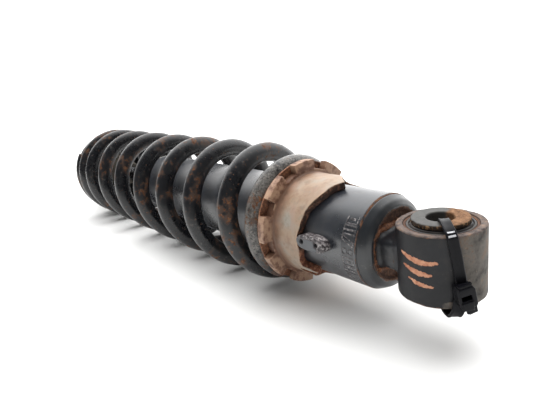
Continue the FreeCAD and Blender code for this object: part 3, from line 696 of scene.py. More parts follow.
def seal_and_sleeve(prefix, at):
    """Dust seals with two lips and the bush sleeve's end."""
    seal_out = span(prefix + "_dust_seals")[1][1]
    top = EYE_HALF - 0.15
    outline = [
        (top - 2.7, seal_out, 0.2), (top - 0.35, seal_out, 0.35), (top - 0.35, seal_out - 0.9, 0.3),
        (top - 1.2, seal_out - 1.15, 0.2), (top - 1.2, seal_out - 1.5, 0.2), (top, seal_out - 1.75, 0.35),
        (top, 9.9, 0.4), (top - 0.9, 9.35, 0.3), (top - 2.7, 9.35, 0.2),
    ]
    upper = lathe(prefix + "_seal_upper", outline, "Z", at, 160)
    lower = lathe(prefix + "_seal_lower", [(-a, r, f) for a, r, f in outline], "Z", at, 160)
    place_piece(join(prefix + "_dust_seals_look", [upper, lower]), MATERIALS["seal_rubber"], "seal_rubber",
                prefix + "_dust_seals")
    half = span(prefix + "_bush_sleeve")[1][2]
    bore = span(prefix + "_bush_sleeve")[1][1] - 1.2
    ring = lathe(prefix + "_bush_sleeve_look", [(-half, bore, 0.2), (-half, bore + 1.17, 0.25),
                                                (half, bore + 1.17, 0.25), (half, bore, 0.2)], "Z", at, 160)
    place_piece(ring, MATERIALS["sleeve_end"], "rusty_steel", prefix + "_bush_sleeve")


def collar_paint(name):
    """Zinc gone grey, with orange rust over one half and flaking round the rim."""
    look = Look(name, roughness=0.5, specular=0.2)
    patches = look.noise(7.0, 5.0, 0.6)
    grit = look.noise(0.8, 7.0, 0.72)
    grey = look.colours(look.noise(3.0, 5.0), (0.3, (0.042, 0.042, 0.040)), (0.7, (0.070, 0.068, 0.064)))
    grey = look.mix(look.step(grit, 0.58, 0.75, 0.0, 0.5), grey, (0.035, 0.028, 0.024))
    orange = look.colours(look.noise(2.6, 7.0, 0.72), (0.32, (0.040, 0.022, 0.014)),
                          (0.50, (0.150, 0.078, 0.040)), (0.66, (0.27, 0.155, 0.085)))
    amount = look.plus(look.stored("rust"), look.times(look.less(patches, 0.5), 1.1))
    rusty = look.step(amount, 0.38, 0.68)
    colour = look.mix(rusty, grey, orange)
    flakes = look.times(look.stored("side"), look.step(look.noise(1.7, 6.0, 0.7), 0.53, 0.58))
    colour = look.mix(look.stored("side"), colour, (0.030, 0.020, 0.014))
    colour = look.mix(flakes, colour, (0.21, 0.125, 0.062))
    relief = look.bump(look.times(grit, look.plus(rusty, 0.25)), 0.22, 0.9)
    relief = look.bump(flakes, 0.25, 0.8, onto=relief)
    return look.finish(colour, look.level(rusty, 0.55, 0.88), relief)


def build_collars(prefix, at, rusty_from):
    """The two collars of an eye, with rims bitten by rust and one rusty half."""
    inner = span(prefix + "_inner_tube")[1][2]
    bore = 6.1
    pieces = []
    for sign in (1, -1):
        outline = [
            (inner - 3.0, bore, 0.0), (inner - 3.0, 7.55, 0.0), (inner, 7.55, 0.0), (inner, COLLAR_R, 0.4),
            (COLLAR_TOP, COLLAR_R, 0.75), (COLLAR_TOP, bore, 0.7),
        ]
        outline = [(a * sign, r, f) for a, r, f in outline]

        def ragged(a, r, t, sign=sign):
            bites = turned_noise(a, r, t, 2.2, 17 + sign, "Z") - 0.45
            return a, r - np.clip(bites, 0, 1) * ramp(r, COLLAR_R - 1.2, COLLAR_R)

        pieces.append(lathe("%s_collar_%d" % (prefix, sign + 1), outline, "Z", at, 256, ragged, longest=0.8))
    both = join(prefix + "_collars_look", pieces)
    mark_edges(both, 0.7)
    p = coords(both)
    az = azimuth(p, at)
    r = np.hypot(p[:, 0] - at, p[:, 1])
    store(both, "rust", ramp(np.cos(np.radians(az - rusty_from)), -0.25, 0.75) + 0.25 * ramp(r, 10.5, 12.3))
    store(both, "side", ramp(r, COLLAR_R - 0.75, COLLAR_R - 0.25) * (np.abs(p[:, 2]) < COLLAR_TOP - 0.25))
    place_piece(both, collar_paint(prefix + "_collar_zinc"), "zinc_steel", prefix + "_collars")


# ------------------------------------------------------------------ neck, weld and end cap
def neck_loop(half_y, half_z, count=96):
    """A rounded oblong, as points evenly spread by angle."""
    angle = np.linspace(0, 2 * np.pi, count, endpoint=False)
    squareness = 2 / 5.2
    c, s = np.cos(angle), np.sin(angle)
    return np.c_[half_y * np.sign(c) * np.abs(c) ** squareness, half_z * np.sign(s) * np.abs(s) ** squareness]


def build_neck():
    """The oblong neck between the eye and the end cap, and the weld round its foot."""
    low, high = span("body_eye_neck")
    half_y, half_z = high[1], high[2]
    root = low[0]
    loop = neck_loop(half_y, half_z)
    steps = np.concatenate((np.linspace(0, 0.55, 12, endpoint=False), np.linspace(0.55, 1.0, 26)))
    rows = []
    for t in steps:
        y, z = loop.T
        surface = -np.sqrt(np.maximum((EYE_R - 0.4) ** 2 - np.minimum(np.abs(y), 17.5) ** 2, 4.0))
        gap = (surface - root) * (1 - t)
        flare = np.where(gap < 3.2, 3.2 - np.sqrt(np.maximum(3.2 ** 2 - (3.2 - gap) ** 2, 0)), 0.0)
        foot = 2.2 * (1 - ease((surface - root) * t / 4.5))
        grow = flare * 0.85 + foot
        size = np.hypot(y, z)
        yy = y * (1 + grow / size * 0.55)
        zz = z * (1 + grow / size)
        zz = np.clip(zz, -EYE_HALF + 1.0, EYE_HALF - 1.0)
        yy = np.clip(yy, -EYE_R + 2.2, EYE_R - 2.2)
        front = -np.sqrt(np.maximum((EYE_R - 0.4) ** 2 - yy ** 2, 4.0))
        x = root + (front - root) * t
        rows.append(np.c_[x, yy, zz])
    p = np.array(rows)
    q = p.reshape(-1, 3)
    lean = np.c_[np.zeros(len(q)), q[:, 1] / 14, q[:, 2] / 8]
    q = q + (rough_noise(q, 7.0, 31)[:, None] - 0.5) * lean * 0.9
    count = len(loop)
    faces = grid_faces(len(steps), count, False, True)
    faces.append(tuple(range(count)))
    faces.append(tuple(reversed(range(len(q) - count, len(q)))))
    neck = outward(add_mesh("body_eye_neck_look", q, faces))
    mark_edges(neck, 2.0, 3)
    spots = ramp(rough_noise(q, 5.0, 9), 0.58, 0.75)
    store(neck, "rust", 0.55 * (1 - ramp(q[:, 0], root + 0.8, root + 3.2)) + 0.10 * spots)
    place_piece(neck, MATERIALS["enamel_neck"], "black_enamel", "body_eye_neck")

    bead = neck_loop(half_y + 1.6, half_z + 1.6, 220)
    ahead = unit(np.roll(bead, -1, 0) - np.roll(bead, 1, 0))
    normal = np.c_[ahead[:, 1], -ahead[:, 0]]
    length = np.cumsum(np.linalg.norm(np.roll(bead, -1, 0) - bead, axis=1))
    rows = []
    for k in range(14):
        a = 2 * np.pi * k / 14
        lump = 1.75 + 0.22 * np.sin(length * 2 * np.pi / 3.1) + 0.3 * np.sin(length * 0.9)
        rows.append(np.c_[np.full(len(bead), root + 0.1) + lump * math.sin(a),
                          bead + normal * (lump * math.cos(a))[:, None]])
    q = np.array(rows).transpose(1, 0, 2).reshape(-1, 3)
    q = q + (rough_noise(q, 1.6, 5)[:, None] - 0.5) * 0.5
    weld = outward(add_mesh("neck_weld_look", q, grid_faces(len(bead), 14, True, True)))
    place_piece(weld, MATERIALS["rusty_steel"], "rusty_steel", "neck_weld")


def build_cap():
    """The dished end cap, rusty inside the recess."""
    rim = span("end_cap")[1][0]
    shoulder = 23.3
    cap = [
        (rim - 3.0, 0.6, 0.0), (rim - 3.0, 16.3, 1.4), (rim - 0.15, 17.3, 0.9), (rim, 19.0, 1.6),
        (rim - 1.5, 21.5, 3.0), (rim - 5.0, shoulder, 2.4), (rim - 5.6, shoulder, 0.2),
        (rim - 5.6, 20.0, 0.0), (rim - 8.0, 20.0, 0.0), (rim - 8.0, 0.6, 0.0),
    ]

    def dents(a, r, t):
        push = turned_noise(a, r, t, 9.0, 12) - 0.5
        return a + push * 0.5 * ramp(r, 10.0, 18.0) * (a > rim - 5.2), r

    piece = lathe("end_cap_look", cap, "X", 0.0, 224, dents, longest=1.2, arc=8)
    mark_edges(piece, 1.2)
    p = coords(piece)
    r = np.hypot(p[:, 1], p[:, 2])
    spots = rough_noise(p, 6.0, 14)
    recess = 1 - ramp(r, 17.0, 18.2)
    rim_rust = (1 - ramp(r, 17.6, 19.4)) * ramp(spots, 0.38, 0.60)
    seam_rust = (1 - ramp(p[:, 0], rim - 5.6, rim - 5.2)) * ramp(spots, 0.35, 0.6)
    seam_rust = seam_rust * (1 - ramp(np.abs(about_x(p) - 92.0), 42.0, 56.0))
    store(piece, "rust", 1.5 * recess + 0.35 * rim_rust + 0.30 * seam_rust)
    place_piece(piece, MATERIALS["enamel_cap"], "black_enamel", "end_cap")


def build_seam():
    """The weld round the tube's end, rusty on its upper side."""
    rim = span("end_cap")[1][0]
    seam = [
        (rim - 6.0, 21.0, 0.0), (rim - 6.0, 23.72, 0.2), (rim - 5.45, 23.45, 0.2), (rim - 5.45, 21.0, 0.0),
    ]

    def lumps(a, r, t):
        return a, r + (turned_noise(a, r, t, 2.0, 40) - 0.5) * 0.35 * (r > 22)

    bead = lathe("seam_weld_look", seam, "X", 0.0, 360, lumps)
    p = coords(bead)
    upper = 1 - ramp(np.abs(about_x(p) - 92.0), 42.0, 56.0)
    store(bead, "edge", np.zeros(len(p)))
    store(bead, "rust", (0.25 + 0.9 * upper) * ramp(rough_noise(p, 4.0, 41), 0.30, 0.60))
    place_piece(bead, MATERIALS["enamel_seam"], "rusty_steel", "seam_weld")


def build_tube():
    """The damper tube, bored for the piston."""
    start = span("end_cap")[1][0] - 5.95
    bore = span("piston_band")[1][2] + 0.1
    tube = [
        (start, bore, 0.0), (start, TUBE_R - 0.02, 0.55), (TUBE_END, TUBE_R, 0.6),
        (TUBE_END, bore + 0.3, 0.0), (TUBE_END + 4.0, bore, 0.0),
    ]

    def waves(a, r, t):
        return a, r + (turned_noise(a, r, t, 16.0, 2) - 0.6) * 0.10 * (r > 23)

    piece = lathe("damper_tube_look", tube, "X", 0.0, 224, waves, longest=2.2)
    mark_edges(piece, 0.8)
    p = coords(piece)
    spots = rough_noise(p, 8.0, 14)
    under_ring = np.exp(-((p[:, 0] + 62.0) / 5.0) ** 2)
    store(piece, "rust", 0.20 * ramp(p[:, 0], start - 0.6, start - 0.2) * ramp(spots, 0.4, 0.6)
          + 0.10 * under_ring + 0.04 * ramp(spots, 0.64, 0.8))
    place_piece(piece, MATERIALS["enamel_tube"], "black_enamel", "damper_tube")


def build_stamp_patch():
    """A rubbed band beside the seam with a row of plain punch marks: bars and dots, no letters."""
    x, phi = np.meshgrid(np.linspace(-38.3, -29.2, 60), np.linspace(130.0, 234.0, 330))
    cell, tall = 5.2, 7.4
    along = np.radians(phi - 182.0) * TUBE_R
    index = np.floor(along / cell).astype(int)
    u = along / cell - index - 0.5
    v = (x + 33.7) / tall
    two_bars = np.minimum(np.abs(u - 0.2), np.abs(u + 0.2)) * cell
    two_bars = np.maximum(two_bars, (np.abs(v) - 0.38) * tall)
    box = np.abs(np.maximum(np.abs(u) * cell - 1.25, np.abs(v) * tall - 2.2))
    slant = np.abs(u * cell - v * 3.0) * 0.9
    slant = np.maximum(slant, (np.abs(v) - 0.36) * tall)
    dots = np.minimum(np.hypot(u * cell, (v - 0.24) * tall), np.hypot(u * cell, (v + 0.24) * tall)) - 0.5
    d = np.choose(index % 4, [box, two_bars, slant, dots])
    groove = 1 - ramp(d, 0.25, 0.75)
    lip = ramp(d, 0.5, 0.8) * (1 - ramp(d, 0.9, 1.4))
    inside = ramp(x, -38.1, -37.2) * (1 - ramp(x, -30.3, -29.5))
    inside = inside * ramp(phi, 131.5, 138.0) * (1 - ramp(phi, 224.0, 232.5))
    angle = np.radians(phi)
    wobble = turned_noise(x, TUBE_R, angle, 2.0, 51) - 0.5
    fade = 0.55 + 0.9 * (turned_noise(x, TUBE_R, angle, 9.0, 52) - 0.5)
    height = -0.12 + inside * (0.18 + (lip * 0.30 - groove * 0.42) * fade + wobble * 0.22)
    r = TUBE_R + height
    q = np.stack((x, r * np.cos(angle), r * np.sin(angle)), -1).reshape(-1, 3)
    patch = add_mesh("stamp_band", q, grid_faces(*x.shape))
    if patch.data.polygons[200].normal.dot(Vector(q[200]).normalized()) < 0:
        patch.data.flip_normals()
    store(patch, "edge", (1.5 * lip * inside * fade).ravel())
    store(patch, "rust", (inside * fade * (0.10 + 0.25 * lip)).ravel())
    place_piece(patch, MATERIALS["enamel_stamp"], "black_enamel", body="damper_body")


# The lug's face as (along X, round the tube).
LUG_OUTLINE = [(-63.9, -1.2), (-61.3, -3.2), (-57.5, -3.75), (-52.0, -3.8), (-48.6, -3.5), (-45.9, -2.2),
               (-44.6, -0.3), (-44.9, 1.8), (-47.0, 3.3), (-51.8, 3.8), (-57.7, 3.8), (-61.6, 3.2),
               (-63.7, 1.4)]


def build_lug(node, phi, holes):
    """A lug welded on the tube; holes are (along X, round the tube, radius)."""
    out = np.array((0.0, math.cos(math.radians(phi)), math.sin(math.radians(phi))))
    down = np.array((0.0, -out[2], out[1]))
    third = np.cross((1.0, 0.0, 0.0), down)
    bottom, top = 22.6, LUG_TOP
    middle = (bottom + top) / 2
    place = axes_matrix((1, 0, 0), down, third, out * middle)
    loops = [curve_through(LUG_OUTLINE, closed=True, parts=6)]
    for hx, ht, hr in holes:
        a = np.linspace(0, 2 * np.pi, 28, endpoint=False)
        loops.append(np.c_[hx + hr * np.cos(a), ht + hr * np.sin(a)])
    lug = flat_curve(node + "_look", loops, (top - bottom) / 2, 0.55, place, 3, 0.7)
    crease_normals(lug, 50)
    mark_edges(lug, 0.9, 1)
    p = coords(lug)
    r = np.hypot(p[:, 1], p[:, 2])
    upper = ramp(p[:, 2] - out[2] * top, 1.0, 2.6)
    tip = ramp(p[:, 0] + 0.5 * p[:, 2], -50.5, -47.5)
    store(lug, "rust", np.maximum(0.8 * tip, 0.8 * upper) + 0.3 * (1 - ramp(r, 24.0, 25.5)))
    place_piece(lug, MATERIALS["enamel_lug"], "black_enamel", node)


# ------------------------------------------------------------------ preload cam ring
# The cam's end as (angle back from the lug, place along X), over one half turn.
CAM_EDGE = [
    (-37.0, -66.9), (-30.0, -66.9), (-21.7, -64.9), (-12.0, -64.0), (-3.0, -64.1), (4.0, -64.2),
    (15.0, -62.5), (24.0, -62.0), (31.0, -61.7), (37.0, -60.4), (43.0, -59.0), (49.0, -57.6), (56.0, -56.1),
    (62.0, -55.7), (66.0, -55.0), (70.0, -54.2), (74.0, -53.0), (78.0, -52.2), (80.5, -52.6), (84.0, -55.2),
    (89.5, -58.4), (95.0, -60.9), (104.6, -66.3), (115.0, -70.0), (120.0, -71.8), (125.0, -72.9),
    (131.0, -73.4), (135.0, -71.4), (137.3, -66.0), (139.4, -56.6), (141.3, -56.2), (143.0, -66.9),
]
CAM_CUT_BACK = [
    (78.0, -52.2), (80.5, -52.8), (84.0, -61.0), (92.0, -72.0), (97.0, -71.6), (103.0, -70.6),
    (110.0, -69.2), (118.0, -67.0), (120.5, -68.4), (124.0, -72.0),
] + [row for row in CAM_EDGE if row[0] > 130.0]


def cam_line(delta):
    """Where the cam's end lies along X, at an angle back from the lug.

    The two half turns are alike up to the crest, past which the second is cut back.
    """
    first = np.array(CAM_EDGE)
    second = np.array([row for row in CAM_EDGE if row[0] < 78.0] + CAM_CUT_BACK)
    turn = (np.asarray(delta, float) + 37.0) % 360.0 - 37.0
    return np.where(turn < 143.0, np.interp(turn, *first.T), np.interp(turn - 180.0, *second.T))


def build_cam_ring():
    """The preload ring: a stepped sleeve joined to a flange with nine teeth."""
    low, high = span("preload_cam_ring")
    back, front = low[0], low[0] + 5.0
    sleeve, bore, floor, tip = 28.3, 24.3, 30.4, high[1]
    plain = np.concatenate((np.arange(-37.0, 135.0, 1.2), np.linspace(135.0, 143.0, 25)[:-1]))
    deltas = np.concatenate((plain, plain + 180.0))
    edge = cam_line(deltas)
    edge = edge + (rough_noise(np.c_[edge, 28 * np.cos(np.radians(deltas)), 28 * np.sin(np.radians(deltas))],
                               3.0, 61) - 0.5) * 0.5
    phi = np.radians(LUG_PHI - deltas)
    rows, burnt = [], []
    quarter = np.linspace(0, np.pi / 2, 5)
    for e, a in zip(edge, phi):
        section = [(x, bore) for x in np.linspace(front - 2.5, e - 0.2, 8)]
        section += [(e, q) for q in np.linspace(bore + 0.2, sleeve - 0.5, 7)]
        section += [(e - 0.45 + 0.45 * math.cos(q), sleeve - 0.45 + 0.45 * math.sin(q)) for q in quarter]
        section += [(x, sleeve) for x in np.linspace(e - 0.9, front + 1.6, 18)]
        section += [(front + 1.5 - 1.5 * math.sin(q), sleeve + 1.5 - 1.5 * math.cos(q)) for q in quarter]
        section += [(front, sleeve + 2.0), (front - 2.5, sleeve + 2.0)]
        rows.append(np.array([(x, q * math.cos(a), q * math.sin(a)) for x, q in section]))
        burnt += [0.6 if k < 8 else 1.0 if k < 15 else 0.55 if k < 18 else 0.0 for k in range(len(section))]
    p = np.array(rows)
    flat = p.reshape(-1, 3)
    r = np.hypot(flat[:, 1], flat[:, 2])
    bump = (rough_noise(flat, 7.0, 62) - 0.5) * 0.35 * ramp(r, 27.0, 28.0) * (r < 29.0)
    flat = flat * np.c_[np.ones(len(flat)), 1 + bump / np.maximum(r, 1), 1 + bump / np.maximum(r, 1)]
    wall = outward(add_mesh("cam_sleeve", flat, grid_faces(len(rows), p.shape[1], True, True)))
    store(wall, "end", burnt)

    loops = []
    outer = []
    for k in range(9):
        centre = 11.5 + 40.0 * k
        outer += [(tip, centre + a) for a in np.linspace(-12.0, 12.0, 13)]
        outer += [(floor, centre + a) for a in np.linspace(12.9, 27.1, 9)]
    loops.append(np.array([(r * math.cos(math.radians(a)), r * math.sin(math.radians(a))) for r, a in outer]))
    hole = np.linspace(0, 2 * np.pi, 180, endpoint=False)
    loops.append(np.c_[(bore + 0.2) * np.cos(hole), (bore + 0.2) * np.sin(hole)])
    middle = (back + front) / 2
    place = axes_matrix((0, 1, 0), (0, 0, 1), (1, 0, 0), (middle, 0.0, 0.0))
    plate = flat_curve("cam_flange", loops, (front - back) / 2, 0.5, place, 3)
    crease_normals(plate, 50)
    store(plate, "end", np.zeros(len(plate.data.vertices)))
    ring = join("preload_cam_ring_look", [wall, plate])
    mark_edges(ring, 0.7, 1)
    p = coords(ring)
    r = np.hypot(p[:, 1], p[:, 2])
    store(ring, "flange", np.maximum(0.75 * (1 - ramp(p[:, 0], front + 1.0, front + 9.0)), (r > 29.0) * 1.0))
    # The bore, the flange's root and the gullets between the teeth are marked for grime and for painted shade
    # in these recesses.
    inside = (r < bore + 0.6) & (p[:, 0] > back)
    store(ring, "inside", inside * 1.0)
    root = np.exp(-((p[:, 0] - front) / 1.1) ** 2) * np.exp(-((r - sleeve) / 1.0) ** 2)
    gullet_shade = ((r < floor + 1.5) & (r > 29.0) & (p[:, 0] < front - 0.2)) * 1.0
    store(ring, "dirt", np.clip(0.8 * root + gullet_shade, 0, 1))
    store(ring, "low", ramp(-p[:, 2], 2.0, 8.0) * (p[:, 1] < 10.0))
    place_piece(ring, cam_ring_paint(), "cam_ring_plate", "preload_cam_ring")


def build_washer():
    """The slip washer behind the flange, rusty brown."""
    low, high = span("spring_slip_washer")
    ring = lathe("slip_washer_look", [(low[0], 28.3, 0.2), (low[0], high[1], 0.3), (high[0], high[1], 0.3),
                                      (high[0], 28.3, 0.2)], "X", 0.0, 192, longest=1.5)
    place_piece(ring, bare_rust("washer_rust", 1.25), "cam_ring_plate", "spring_slip_washer")


def cam_ring_paint():
    """Yellow plate faded to sand on the sleeve, peach-brown on the flange, dark rust on cut ends."""
    look = Look("cam_ring_paint", roughness=0.55, specular=0.35)
    wide = look.noise(16.0, 3.0, 0.5)
    patches = look.noise(5.0, 5.0, 0.62)
    grain = look.noise(0.8, 6.0, 0.7)
    sand = look.colours(wide, (0.34, (0.25, 0.165, 0.108)), (0.50, (0.310, 0.228, 0.165)),
                        (0.64, (0.285, 0.258, 0.218)))
    sand = look.spotted(sand, (5.0, 5.0, 0.62, 0.44, 0.68, 0.6, (0.205, 0.120, 0.076)),
                        (3.4, 5.0, 0.68, 0.52, 0.66, 0.5, (0.200, 0.168, 0.128)),
                        (9.0, 5.0, 0.6, 0.54, 0.68, 0.45, (0.33, 0.225, 0.180)))
    peach = look.colours(patches, (0.32, (0.085, 0.040, 0.025)), (0.50, (0.175, 0.090, 0.058)),
                         (0.70, (0.255, 0.145, 0.092)))
    colour = look.mix(look.stored("flange"), sand, peach)
    pits = look.step(grain, 0.62, 0.72, 0.0, 0.5)
    colour = look.mix(pits, colour, (0.11, 0.055, 0.03))
    bright = look.times(look.stored("edge"), look.step(patches, 0.40, 0.60))
    colour = look.mix(look.times(bright, 0.55), colour, (0.50, 0.34, 0.23))
    # Dark brown in the root, the gullets and the bore: grime, and painted shade in these recesses.
    grime_and_shade = look.times(look.stored("dirt"), look.step(patches, 0.28, 0.60))
    grime_and_shade = look.do("ADD", grime_and_shade, look.times(look.stored("inside"), 0.9), clamp=True)
    colour = look.mix(grime_and_shade, colour, (0.060, 0.028, 0.017))
    ragged = look.times(look.less(patches, 0.5), 0.8)
    burnt = look.step(look.plus(look.stored("end"), ragged), 0.40, 0.62)
    cut_face = look.noise(2.6, 5.0, 0.65)
    scorched = look.colours(cut_face, (0.34, (0.016, 0.010, 0.008)), (0.52, (0.055, 0.029, 0.020)),
                            (0.66, (0.20, 0.095, 0.058)))
    reddish = look.colours(cut_face, (0.34, (0.060, 0.022, 0.013)), (0.52, (0.165, 0.062, 0.034)),
                           (0.66, (0.34, 0.17, 0.10)))
    scorched = look.mix(look.stored("low"), scorched, reddish)
    colour = look.mix(burnt, colour, scorched)
    relief = look.bump(patches, 0.10, 0.6)
    relief = look.bump(look.times(grain, look.level(burnt, 0.35, 1.0)), 0.16, 0.8, onto=relief)
    return look.finish(colour, look.level(burnt, look.step(wide, 0.3, 0.7, 0.42, 0.62), 0.85), relief)


# ------------------------------------------------------------------ coil spring
WIRE = 6.1  # radius of the wire
COIL = 36.9  # from the shock's axis to the wire's centre
TURNS = 9.3
TIP_ANGLE = 252.0  # where the near tip lies round the shock
SPRING_START = -95.9  # and along it
CUT_TURN = 2.4  # where the spring's two lengths meet


def spring_pitch(turn):
    """How far the spring advances per turn, in millimetres."""
    near = 2.0 + (40.6 - 2.0) * ease((turn - 0.1) / 1.3)
    return np.where(turn > TURNS / 2, 12.4 + (near - 12.4) * ease((TURNS - 0.7 - turn) / 2.4), near)


def spring_line(turn):
    """Centre of the wire and its direction at each turn count from the near tip."""
    fine = np.linspace(0, TURNS, 9301)
    mid = (fine[1:] + fine[:-1]) / 2
    drop = np.concatenate(([0], np.cumsum(spring_pitch(mid) * np.diff(fine))))

    def at(u):
        x = SPRING_START - np.interp(u, fine, drop)
        radius = COIL - 6.2 * (1 - ease((u - 0.2) / 1.4)) - 0.9 * (1 - ease((TURNS - u) / 1.2))
        a = np.radians(TIP_ANGLE - 360.0 * u)
        return np.stack((x, radius * np.cos(a), radius * np.sin(a)), -1)

    return at(turn), unit(at(turn + 1e-4) - at(turn - 1e-4))


def spring_piece(name, first, last, material):
    """One length of the spring, a tube swept along the wire's centre line."""
    turn = np.linspace(first, last, int((last - first) * 132) + 1)
    ring = 26
    centre, way = spring_line(turn)
    out = unit(centre * np.array((0.0, 1.0, 1.0)))
    side = unit(np.cross(way, out))
    out = np.cross(side, way)
    theta = np.linspace(0, 2 * np.pi, ring, endpoint=False)
    rows = [(k, WIRE, 0.0) for k in range(len(turn))]
    tip = [(0.4, 0.0), (WIRE - 0.9, 0.0), (WIRE - 0.25, 0.25), (WIRE, 0.9)]
    if first == 0.0:
        rows[:1] = [(0, radius, push) for radius, push in tip]
    if last == TURNS:
        rows[-1:] = [(len(turn) - 1, radius, -push) for radius, push in reversed(tip)]
    index, radii, push = (np.array(column) for column in zip(*rows))
    c = centre[index] + way[index] * push[:, None]
    p = (c[:, None] + out[index][:, None] * np.cos(theta)[:, None] * radii[:, None, None]
         + side[index][:, None] * np.sin(theta)[:, None] * radii[:, None, None])
    flat = p.reshape(-1, 3)
    n = (p - c[:, None]).reshape(-1, 3)
    n = n / np.maximum(np.linalg.norm(n, axis=1), 1e-6)[:, None]
    flat = flat + n * ((rough_noise(flat, 6.0, 70) - 0.55) * 0.16)[:, None]
    faces = grid_faces(len(index), ring, False, True)
    if first == 0.0:
        faces.append(tuple(range(ring)))
    if last == TURNS:
        faces.append(tuple(reversed(range(len(flat) - ring, len(flat)))))
    obj = outward(add_mesh(name, flat, faces))
    data = obj.data
    face = data.polygons[len(data.polygons) // 2]
    middle = flat[list(face.vertices)].mean(0)
    nearest = centre[np.argmin(np.linalg.norm(centre - middle, axis=1))]
    if face.normal.dot(Vector(middle - nearest)) < 0:
        data.flip_normals()
    per = np.repeat(turn[index], ring)
    store(obj, "turn", per)
    store(obj, "outer", np.tile(np.cos(theta), len(index)))
    rest = data.attributes.new("rest", "FLOAT_VECTOR", "POINT")
    rest.data.foreach_set("vector", (flat * MM).astype(np.float32).ravel())
    data.materials.append(material)
    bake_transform(obj)
    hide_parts("coil_spring")


def spring_paint():
    """Satin black coating, scuffed grey outside, freckled with rust; the nearest coil is dusty."""
    look = Look("spring_coating", roughness=0.3, specular=0.42)
    at = look.stored("rest", "Vector")
    turn = look.stored("turn")
    outer = look.stored("outer")
    wide = look.noise(24.0, 3.0, 0.5, at=at)
    patches = look.noise(6.0, 5.0, 0.62, at=at)
    grain = look.noise(1.0, 7.0, 0.72, at=at)
    specks = look.noise(2.2, 4.0, 0.6, at=at)
    colour = look.mix(look.step(wide, 0.35, 0.65), (0.0055, 0.006, 0.0075), (0.010, 0.0105, 0.012))
    film = look.times(look.step(patches, 0.44, 0.70), look.step(outer, -0.2, 0.9))
    colour = look.mix(look.times(film, 0.14), colour, (0.070, 0.066, 0.063))
    scuff = look.times(look.step(specks, 0.56, 0.64), look.step(patches, 0.46, 0.58))
    colour = look.mix(look.times(scuff, 0.3), colour, (0.12, 0.117, 0.114))
    height = look.make("ShaderNodeSeparateXYZ", {0: at}, "Z")
    near = look.times(look.step(turn, 1.15, 0.75), look.step(height, -0.024, -0.008))
    pitted = look.colours(grain, (0.36, (0.020, 0.018, 0.017)), (0.50, (0.105, 0.098, 0.090)),
                          (0.66, (0.20, 0.185, 0.165)))
    colour = look.mix(look.times(near, look.step(patches, 0.30, 0.55)), colour, pitted)
    stain = look.times(look.step(wide, 0.50, 0.62), look.step(patches, 0.48, 0.58))
    colour = look.mix(look.times(stain, 0.8), colour, (0.070, 0.040, 0.027))
    wear = look.plus(look.times(stain, 0.22), look.step(wide, 0.50, 0.66, 0.0, 0.05))
    rust = look.step(look.plus(wear, look.times(grain, look.step(specks, 0.46, 0.60))), 0.54, 0.62)
    colour = look.mix(rust, colour, rust_colour(look, at))
    matt = look.do("ADD", film, stain, clamp=True)
    roughness = look.level(matt, look.step(wide, 0.3, 0.7, 0.24, 0.34), 0.45)
    roughness = look.level(rust, roughness, 0.9)
    relief = look.bump(look.noise(2.4, 3.0, at=at), 0.10, 0.6)
    relief = look.bump(look.less(look.times(grain, rust), look.times(rust, 0.5)),
                       0.25, 0.9, onto=relief)
    return look.finish(colour, roughness, relief)


# ------------------------------------------------------------------ cable tie through the body eye
TIE = [
    (4.7, -48.0, -17.0), (4.9, -48.0, -8.0), (4.9, -48.0, 0.0), (5.0, -48.0, 10.0), (5.2, -48.0, 16.5),
    (7.0, -48.0, 19.2), (10.5, -47.6, 19.7), (14.0, -46.8, 19.2), (17.4, -46.0, 18.3), (19.8, -45.0, 16.6),
    (20.1, -43.2, 13.0), (20.1, -40.5, 8.0), (20.1, -38.3, 3.0), (20.2, -36.2, -1.5), (20.3, -35.0, -5.0),
]
TIE_BACK = [
    (20.6, -36.5, -10.0), (20.9, -38.5, -13.0), (20.8, -40.5, -16.2), (18.8, -42.6, -19.0),
    (14.5, -45.6, -19.7), (10.0, -46.8, -19.7), (6.6, -47.8, -19.2), (4.8, -48.0, -16.5),
]


TIE_GLINT_DASHES = 49.6  # how far along the strap its two pale dashes lie, painted highlights for glints at the bend


def strap(name, path, width, thick):
    """A flat strap swept along points given as radius, azimuth and height about the eye."""
    turned = [(r, math.radians(a), z) for r, a, z in path]
    line = curve_through([(r * math.cos(a), r * math.sin(a), z) for r, a, z in turned])
    way = unit(np.gradient(line, axis=0))
    slant = math.radians(48.0)
    across = np.array((math.sin(slant), math.cos(slant), 0.0))
    across = unit(across - way * (way @ across)[:, None])
    face = np.cross(across, way)
    centre = np.array((9.0 * math.cos(slant), -9.0 * math.sin(slant), 0.0))
    face = face * np.sign(np.sign((face * (line - centre)).sum(1)).sum())
    length = np.concatenate(([0], np.cumsum(np.linalg.norm(np.diff(line, axis=0), axis=1))))
    w, h = width / 2, thick / 2
    outline = [
        (-w, -h * 0.4), (-w, h * 0.4), (-w + 0.3, h), (-w + 0.8, h), (-w + 1.1, h - 0.16), (0.0, h - 0.16),
        (w - 1.1, h - 0.16), (w - 0.8, h), (w - 0.3, h), (w, h * 0.4), (w, -h * 0.4), (w - 0.3, -h),
        (0.0, -h), (-w + 0.3, -h),
    ]
    rows = [[c + s * u + f * v for u, v in outline] for c, s, f in zip(line, across, face)]
    q = np.array(rows).reshape(-1, 3)
    n = len(outline)
    faces = grid_faces(len(rows), n, False, True)
    faces += [tuple(range(n)), tuple(reversed(range(len(q) - n, len(q))))]
    obj = outward(add_mesh(name, q, faces))
    store(obj, "along", np.repeat(length, n))
    store(obj, "across", np.tile([u for u, v in outline], len(rows)))
    crease_normals(obj, 40)
    return obj


